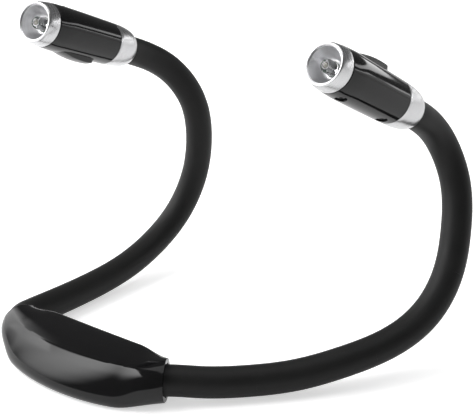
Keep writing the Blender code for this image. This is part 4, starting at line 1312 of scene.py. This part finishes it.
class LIGHT_OT_buttons(bpy.types.Operator):
    """Model each head's ramped push button"""

    bl_idname = "light.buttons"
    bl_label = "Buttons"

    def execute(self, context):
        s = settings()
        front = s.head_length - s.button_front
        middle = front - s.button_length / 2
        base = barrel_radius(middle) - s.shell_wall - BUTTON_DEPTH
        places = np.linspace(0, 1, BUTTON_ROWS)
        rises = np.interp(places, *zip(*RAMP))
        window = np.ones(RAMP_WINDOW) / RAMP_WINDOW
        rises = np.convolve(np.pad(rises, RAMP_WINDOW // 2, mode="edge"), window, mode="valid")
        rows = []
        for place, rise in zip(places, rises):
            height = front - s.button_length * place
            radius = barrel_radius(height) + s.button_rise * rise
            past = max(0, BUTTON_CORNER - min(place, 1 - place) * s.button_length)
            inset = BUTTON_CORNER - math.sqrt(max(BUTTON_CORNER**2 - past**2, 0))
            half = s.button_width / 2 - inset
            row = []
            for across in np.linspace(-half, half, BUTTON_COLUMNS):
                row.append((math.sqrt(radius**2 - across**2), across, height))
            rows.append(row + [(base, half, height), (base, -half, height), row[0]])
        button = lofted("button", rows)
        bpy.ops.mesh.remove_doubles(threshold=MERGE)
        bpy.ops.mesh.select_all(action="DESELECT")
        bpy.ops.mesh.select_non_manifold()
        bpy.ops.mesh.edge_face_add()
        close_piece(button, BUTTON_ROUNDING, 3, SOFT_ANGLE)
        fit_to_heads(button, "button", satin_plastic(), ("button",), "button_body")
        return {"FINISHED"}


# Head radius, head length and whole length of a head's screw and of a cover screw
HEAD_SCREW = (0.0019, 0.0011, 0.0105)
COVER_SCREW = (0.0017, 0.0012, 0.0085)
SCREW_SUNK = 0.0007
SHANK_RADIUS = 0.0009
SHANK_POINT = 0.0008
# The head's flat share, and its rim's width, its fall to the edge and its depth there
FACE_SHARE = 0.62
RIM_WIDTH = 0.0003
RIM_FALL = 0.0001
RIM_DEPTH = 0.0004
# The cross slot: its reach as a share of the head's radius, half its width, its depth and its margin
CROSS_REACH = 0.58
HALF_CROSS = 0.00022
CROSS_DEPTH = 0.0007
CROSS_MARGIN = 0.001


class LIGHT_OT_screws(bpy.types.Operator):
    """Model the screws of the heads and of the housing's cover"""

    bl_idname = "light.screws"
    bl_label = "Screws"

    def execute(self, context):
        s = settings()
        for tag, back in (("front", s.front_screw), ("rear", s.rear_screw)):
            screw = self.screw(f"{tag}_screw", *HEAD_SCREW)
            pick(screw)
            screw.matrix_world = barrel_face(s.head_length - back, SCREW_SUNK)
            apply_place()
            fit_to_heads(screw, f"{tag}_screw", screw_metal(), (f"{tag}_screw",))
        for hand in HANDS:
            screw = self.screw(f"{hand}_housing_screw", *COVER_SCREW)
            settle(screw, cover_screw_place(hand))
            dress(screw, screw_metal())
            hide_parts(f"{hand}_cover_screw")
            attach(screw, "housing")
        return {"FINISHED"}

    def screw(self, name, head, head_length, length):
        """A cross-slotted screw whose face is at the origin and whose shank runs to -Z."""
        line = [
            (AXIS, 0),
            (head * FACE_SHARE, 0),
            (head - RIM_WIDTH, -RIM_FALL),
            (head, -RIM_DEPTH),
            (head, -head_length),
            (SHANK_RADIUS, -head_length),
            (SHANK_RADIUS, -length),
            (AXIS, -length - SHANK_POINT),
        ]
        made = turned(name, line, SCREW_SIDES)
        close_piece(made, angle=ROUND_ANGLE)
        reach = head * CROSS_REACH
        for turn in (0, math.pi / 2):
            bar = block("bar", (-reach, -HALF_CROSS, -CROSS_DEPTH), (reach, HALF_CROSS, CROSS_MARGIN))
            close_piece(bar)
            bar.rotation_euler.z = turn
            carve(made, bar)
        smooth(made, FINE_ANGLE)
        return made


class LIGHT_OT_inner_parts(bpy.types.Operator):
    """Give the parts inside the housing and heads their finishes"""

    bl_idname = "light.inner_parts"
    bl_label = "Inner parts"

    def execute(self, context):
        finishes = {
            "core": finish("Bending wire steel", plain_metal, (0.5, 0.5, 0.52), 0.35),
            "cell": finish("Cell can", plain_metal, (0.62, 0.62, 0.64), 0.3),
            "contact": finish("Sprung contact", plain_metal, (0.72, 0.68, 0.55), 0.28),
            "board": self.matt("Circuit board", (0.02, 0.12, 0.05), 0.4, 0.06, 1500.0),
            "clamp": self.matt("Clamp nylon", (0.06, 0.06, 0.062), 0.5, 0.05, 4000.0),
            "switch": self.matt("Switch body", (0.04, 0.04, 0.042), 0.45, 0.05, 4000.0),
        }
        for name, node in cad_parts.items():
            if node.hide_render:
                continue
            kind = next((kind for kind in finishes if kind in name), None)
            if kind is None:
                raise ValueError(f"{name} has no finish")
            for slot in node.material_slots:
                slot.material = finishes[kind]
        return {"FINISHED"}

    def matt(self, name, colour, roughness, spread, grain):
        """A plastic without dust, for the inside."""
        return finish(name, plastic, colour, roughness, spread, grain, 0.00002, 0.0)


# The camera of the photo, with its tilt from looking straight down and its turn in degrees
CAMERA_PLACE = (0.27849, -0.28195, 0.22544)
CAMERA_TILT = 68
CAMERA_TURN = 36.63
CAMERA_LENS = 87.15
SENSOR_WIDTH = 36
NEAR_CLIP = 0.01
FLOOR_SIZE = 3
FLOOR_ROUGHNESS = 0.9
# What the floor adds to its own light, for reflections and for the camera
FLOOR_MIRRORED = 0.34
FLOOR_SEEN = 0.55
# The world's strength as light and to the camera, and in reflections at the horizon and overhead
WORLD_LIGHT = 0.26
WORLD_SEEN = 1.0
HORIZON = 1.0
OVERHEAD = 0.14
OVERHEAD_FROM = 0.06
# The top lamp's place, target, width, height and power
TOP_LAMP = ((0.05, 0.15, 0.85), (0.03, 0.04, 0.05), 0.7, 0.6, 1.6)
# Each softbox's place, target, width, height, strength, faded share of its sides and strength at its foot
SOFTBOXES = {
    "left": ((-0.58, -0.46, 0.47), (0, 0, 0.01), 0.9, 1.08, 7.5, 0.9, 0.12),
    "far_left": ((-0.9, 0.04, 0.38), (0, 0, 0.01), 0.9, 0.76, 4.0, 0.5, 0.35),
    "upper_strip": ((0.45, 0.86, 0.26), (0.03, 0.03, 0.11), 1.2, 0.06, 3.4, 0.1, 1.0),
    "lower_strip": ((0.45, 0.86, 0.135), (0.03, 0.03, 0.11), 1.2, 0.022, 3.0, 0.1, 1.0),
}


class LIGHT_OT_studio(bpy.types.Operator):
    """Set up the camera, the floor and the lights"""

    bl_idname = "light.studio"
    bl_label = "Studio"

    def execute(self, context):
        scene = context.scene
        scene.view_settings.view_transform = "Standard"
        deselect()
        turn = (math.radians(CAMERA_TILT), 0, math.radians(CAMERA_TURN))
        bpy.ops.object.camera_add(location=CAMERA_PLACE, rotation=turn)
        camera = context.object
        camera.data.lens = CAMERA_LENS
        camera.data.sensor_width = SENSOR_WIDTH
        camera.data.clip_start = NEAR_CLIP
        scene.camera = camera
        bpy.ops.mesh.primitive_plane_add(size=FLOOR_SIZE)
        floor = context.object
        floor.name = "studio_floor"
        floor.data.materials.append(self.floor_finish())
        self.sky(scene)
        self.lamp("top", *TOP_LAMP)
        for name, values in SOFTBOXES.items():
            self.softbox(name, *values)
        return {"FINISHED"}

    def aimed(self, place, target):
        return (Vector(place) - Vector(target)).to_track_quat("Z", "Y").to_euler()

    def lamp(self, name, place, target, wide, high, power):
        bpy.ops.object.light_add(type="AREA", location=place, rotation=self.aimed(place, target))
        light = bpy.context.object
        light.name = name
        light.data.shape = "RECTANGLE"
        light.data.size = wide
        light.data.size_y = high
        light.data.energy = power

    def softbox(self, name, place, target, wide, high, strength, fade, foot):
        """A glowing sheet that fades towards its sides, and towards its foot to a share of its top."""
        deselect()
        bpy.ops.mesh.primitive_plane_add(size=1)
        sheet = bpy.context.object
        sheet.scale = (wide, high, 1)
        apply_place()
        sheet.name = f"studio_{name}"
        sheet.location = place
        sheet.rotation_euler = self.aimed(place, target)
        sheet.visible_camera = False
        sheet.visible_shadow = False
        sheet.data.materials.append(self.glow(name, wide, high, strength, fade, foot))

    def glow(self, name, wide, high, strength, fade, foot):
        """A glow that adds to what is seen through it, so that sheets can overlap."""
        material = bpy.data.materials.new(f"Softbox {name}")
        material.use_nodes = True
        tree = material.node_tree
        tree.nodes.remove(tree.nodes["Principled BSDF"])
        x, y, _ = split(tree, object_place(tree))
        rising = ranged(tree, y, -high / 2, high / 2, strength * foot, strength)
        edge = ranged(tree, worked(tree, "ABSOLUTE", x), wide / 2 * (1 - fade), wide / 2, 1.0, 0.0)
        edge.node.interpolation_type = "SMOOTHSTEP"
        glowing = add_node(tree, "ShaderNodeEmission")
        fed(tree, glowing, Strength=worked(tree, "MULTIPLY", rising, edge))
        clear = add_node(tree, "ShaderNodeBsdfTransparent")
        both = result_of(tree, "ShaderNodeAddShader", glowing.outputs["Emission"], clear.outputs["BSDF"])
        fed(tree, tree.nodes["Material Output"], Surface=both)
        return material

    def floor_finish(self):
        """A pale floor that keeps its shadow and is lifted to white for the camera."""
        material, tree, shader = new_finish("Studio floor")
        surface = use_effect(tree, moulded_grain, object_place(tree), Grain=400.0, Patches=4.0)
        colour = colours().floor
        base = blended(tree, surface.outputs["Patch"], toned(colour, 0.99), colour)
        feed(tree, shader.inputs["Base Color"], base)
        shader.inputs["Roughness"].default_value = FLOOR_ROUGHNESS
        shader.inputs["Emission Color"].default_value = (1, 1, 1, 1)
        lift = self.by_ray(tree, 0.0, FLOOR_MIRRORED, FLOOR_SEEN)
        tree.links.new(lift, shader.inputs["Emission Strength"])
        return material

    def by_ray(self, tree, lighting, mirrored, seen):
        """A value for the rays that light the object, those that it mirrors and those of the camera."""
        path = add_node(tree, "ShaderNodeLightPath")
        bounced = worked(tree, "MAXIMUM", path.outputs["Is Glossy Ray"], path.outputs["Is Transmission Ray"])
        result = lighting
        for share, value in ((bounced, mirrored), (path.outputs["Is Camera Ray"], seen)):
            choice = add_node(tree, "ShaderNodeMix", data_type="FLOAT")
            result = fed(tree, choice, Factor=share, A=result, B=value).outputs["Result"]
        return result

    def sky(self, scene):
        """A white backdrop up from the floor, that reflections see darken overhead, and a grey light."""
        world = bpy.data.worlds.new("Studio")
        scene.world = world
        world.use_nodes = True
        tree = world.node_tree
        plain = tree.nodes["Background"]
        _, _, up = split(tree, object_place(tree))
        sweep = ranged(tree, up, 0.0, OVERHEAD_FROM, HORIZON, OVERHEAD)
        plain.inputs["Color"].default_value = (1, 1, 1, 1)
        strength = self.by_ray(tree, WORLD_LIGHT, sweep, WORLD_SEEN)
        tree.links.new(strength, plain.inputs["Strength"])


class LIGHT_PT_panel(bpy.types.Panel):
    """Lists the reading light's sizes, colours and pieces"""

    bl_idname = "LIGHT_PT_panel"
    bl_label = "Reading Light"
    bl_space_type = "VIEW_3D"
    bl_region_type = "UI"
    bl_category = "Reading Light"

    def draw(self, context):
        for group in (context.scene.light_sizes, context.scene.light_colours):
            box = self.layout.box()
            for key in group.__annotations__:
                box.prop(group, key)
        for operator in OPERATORS:
            self.layout.operator(operator.bl_idname)


OPERATORS = (
    LIGHT_OT_studio,
    LIGHT_OT_housing,
    LIGHT_OT_door,
    LIGHT_OT_sleeves,
    LIGHT_OT_rings,
    LIGHT_OT_lamps,
    LIGHT_OT_barrels,
    LIGHT_OT_buttons,
    LIGHT_OT_screws,
    LIGHT_OT_inner_parts,
)


def register():
    for group in (LightSizes, LightColours):
        bpy.utils.register_class(group)
    for operator in OPERATORS:
        bpy.utils.register_class(operator)
    bpy.utils.register_class(LIGHT_PT_panel)
    bpy.types.Scene.light_sizes = bpy.props.PointerProperty(type=LightSizes)
    bpy.types.Scene.light_colours = bpy.props.PointerProperty(type=LightColours)


def unregister():
    del bpy.types.Scene.light_colours
    del bpy.types.Scene.light_sizes
    bpy.utils.unregister_class(LIGHT_PT_panel)
    for operator in reversed(OPERATORS):
        bpy.utils.unregister_class(operator)
    for group in (LightColours, LightSizes):
        bpy.utils.unregister_class(group)


def main():
    register()
    bpy.ops.light.studio()
    bpy.ops.light.housing()
    bpy.ops.light.door()
    bpy.ops.light.sleeves()
    bpy.ops.light.rings()
    bpy.ops.light.lamps()
    bpy.ops.light.barrels()
    bpy.ops.light.buttons()
    bpy.ops.light.screws()
    bpy.ops.light.inner_parts()


if __name__ == "__main__":
    main()
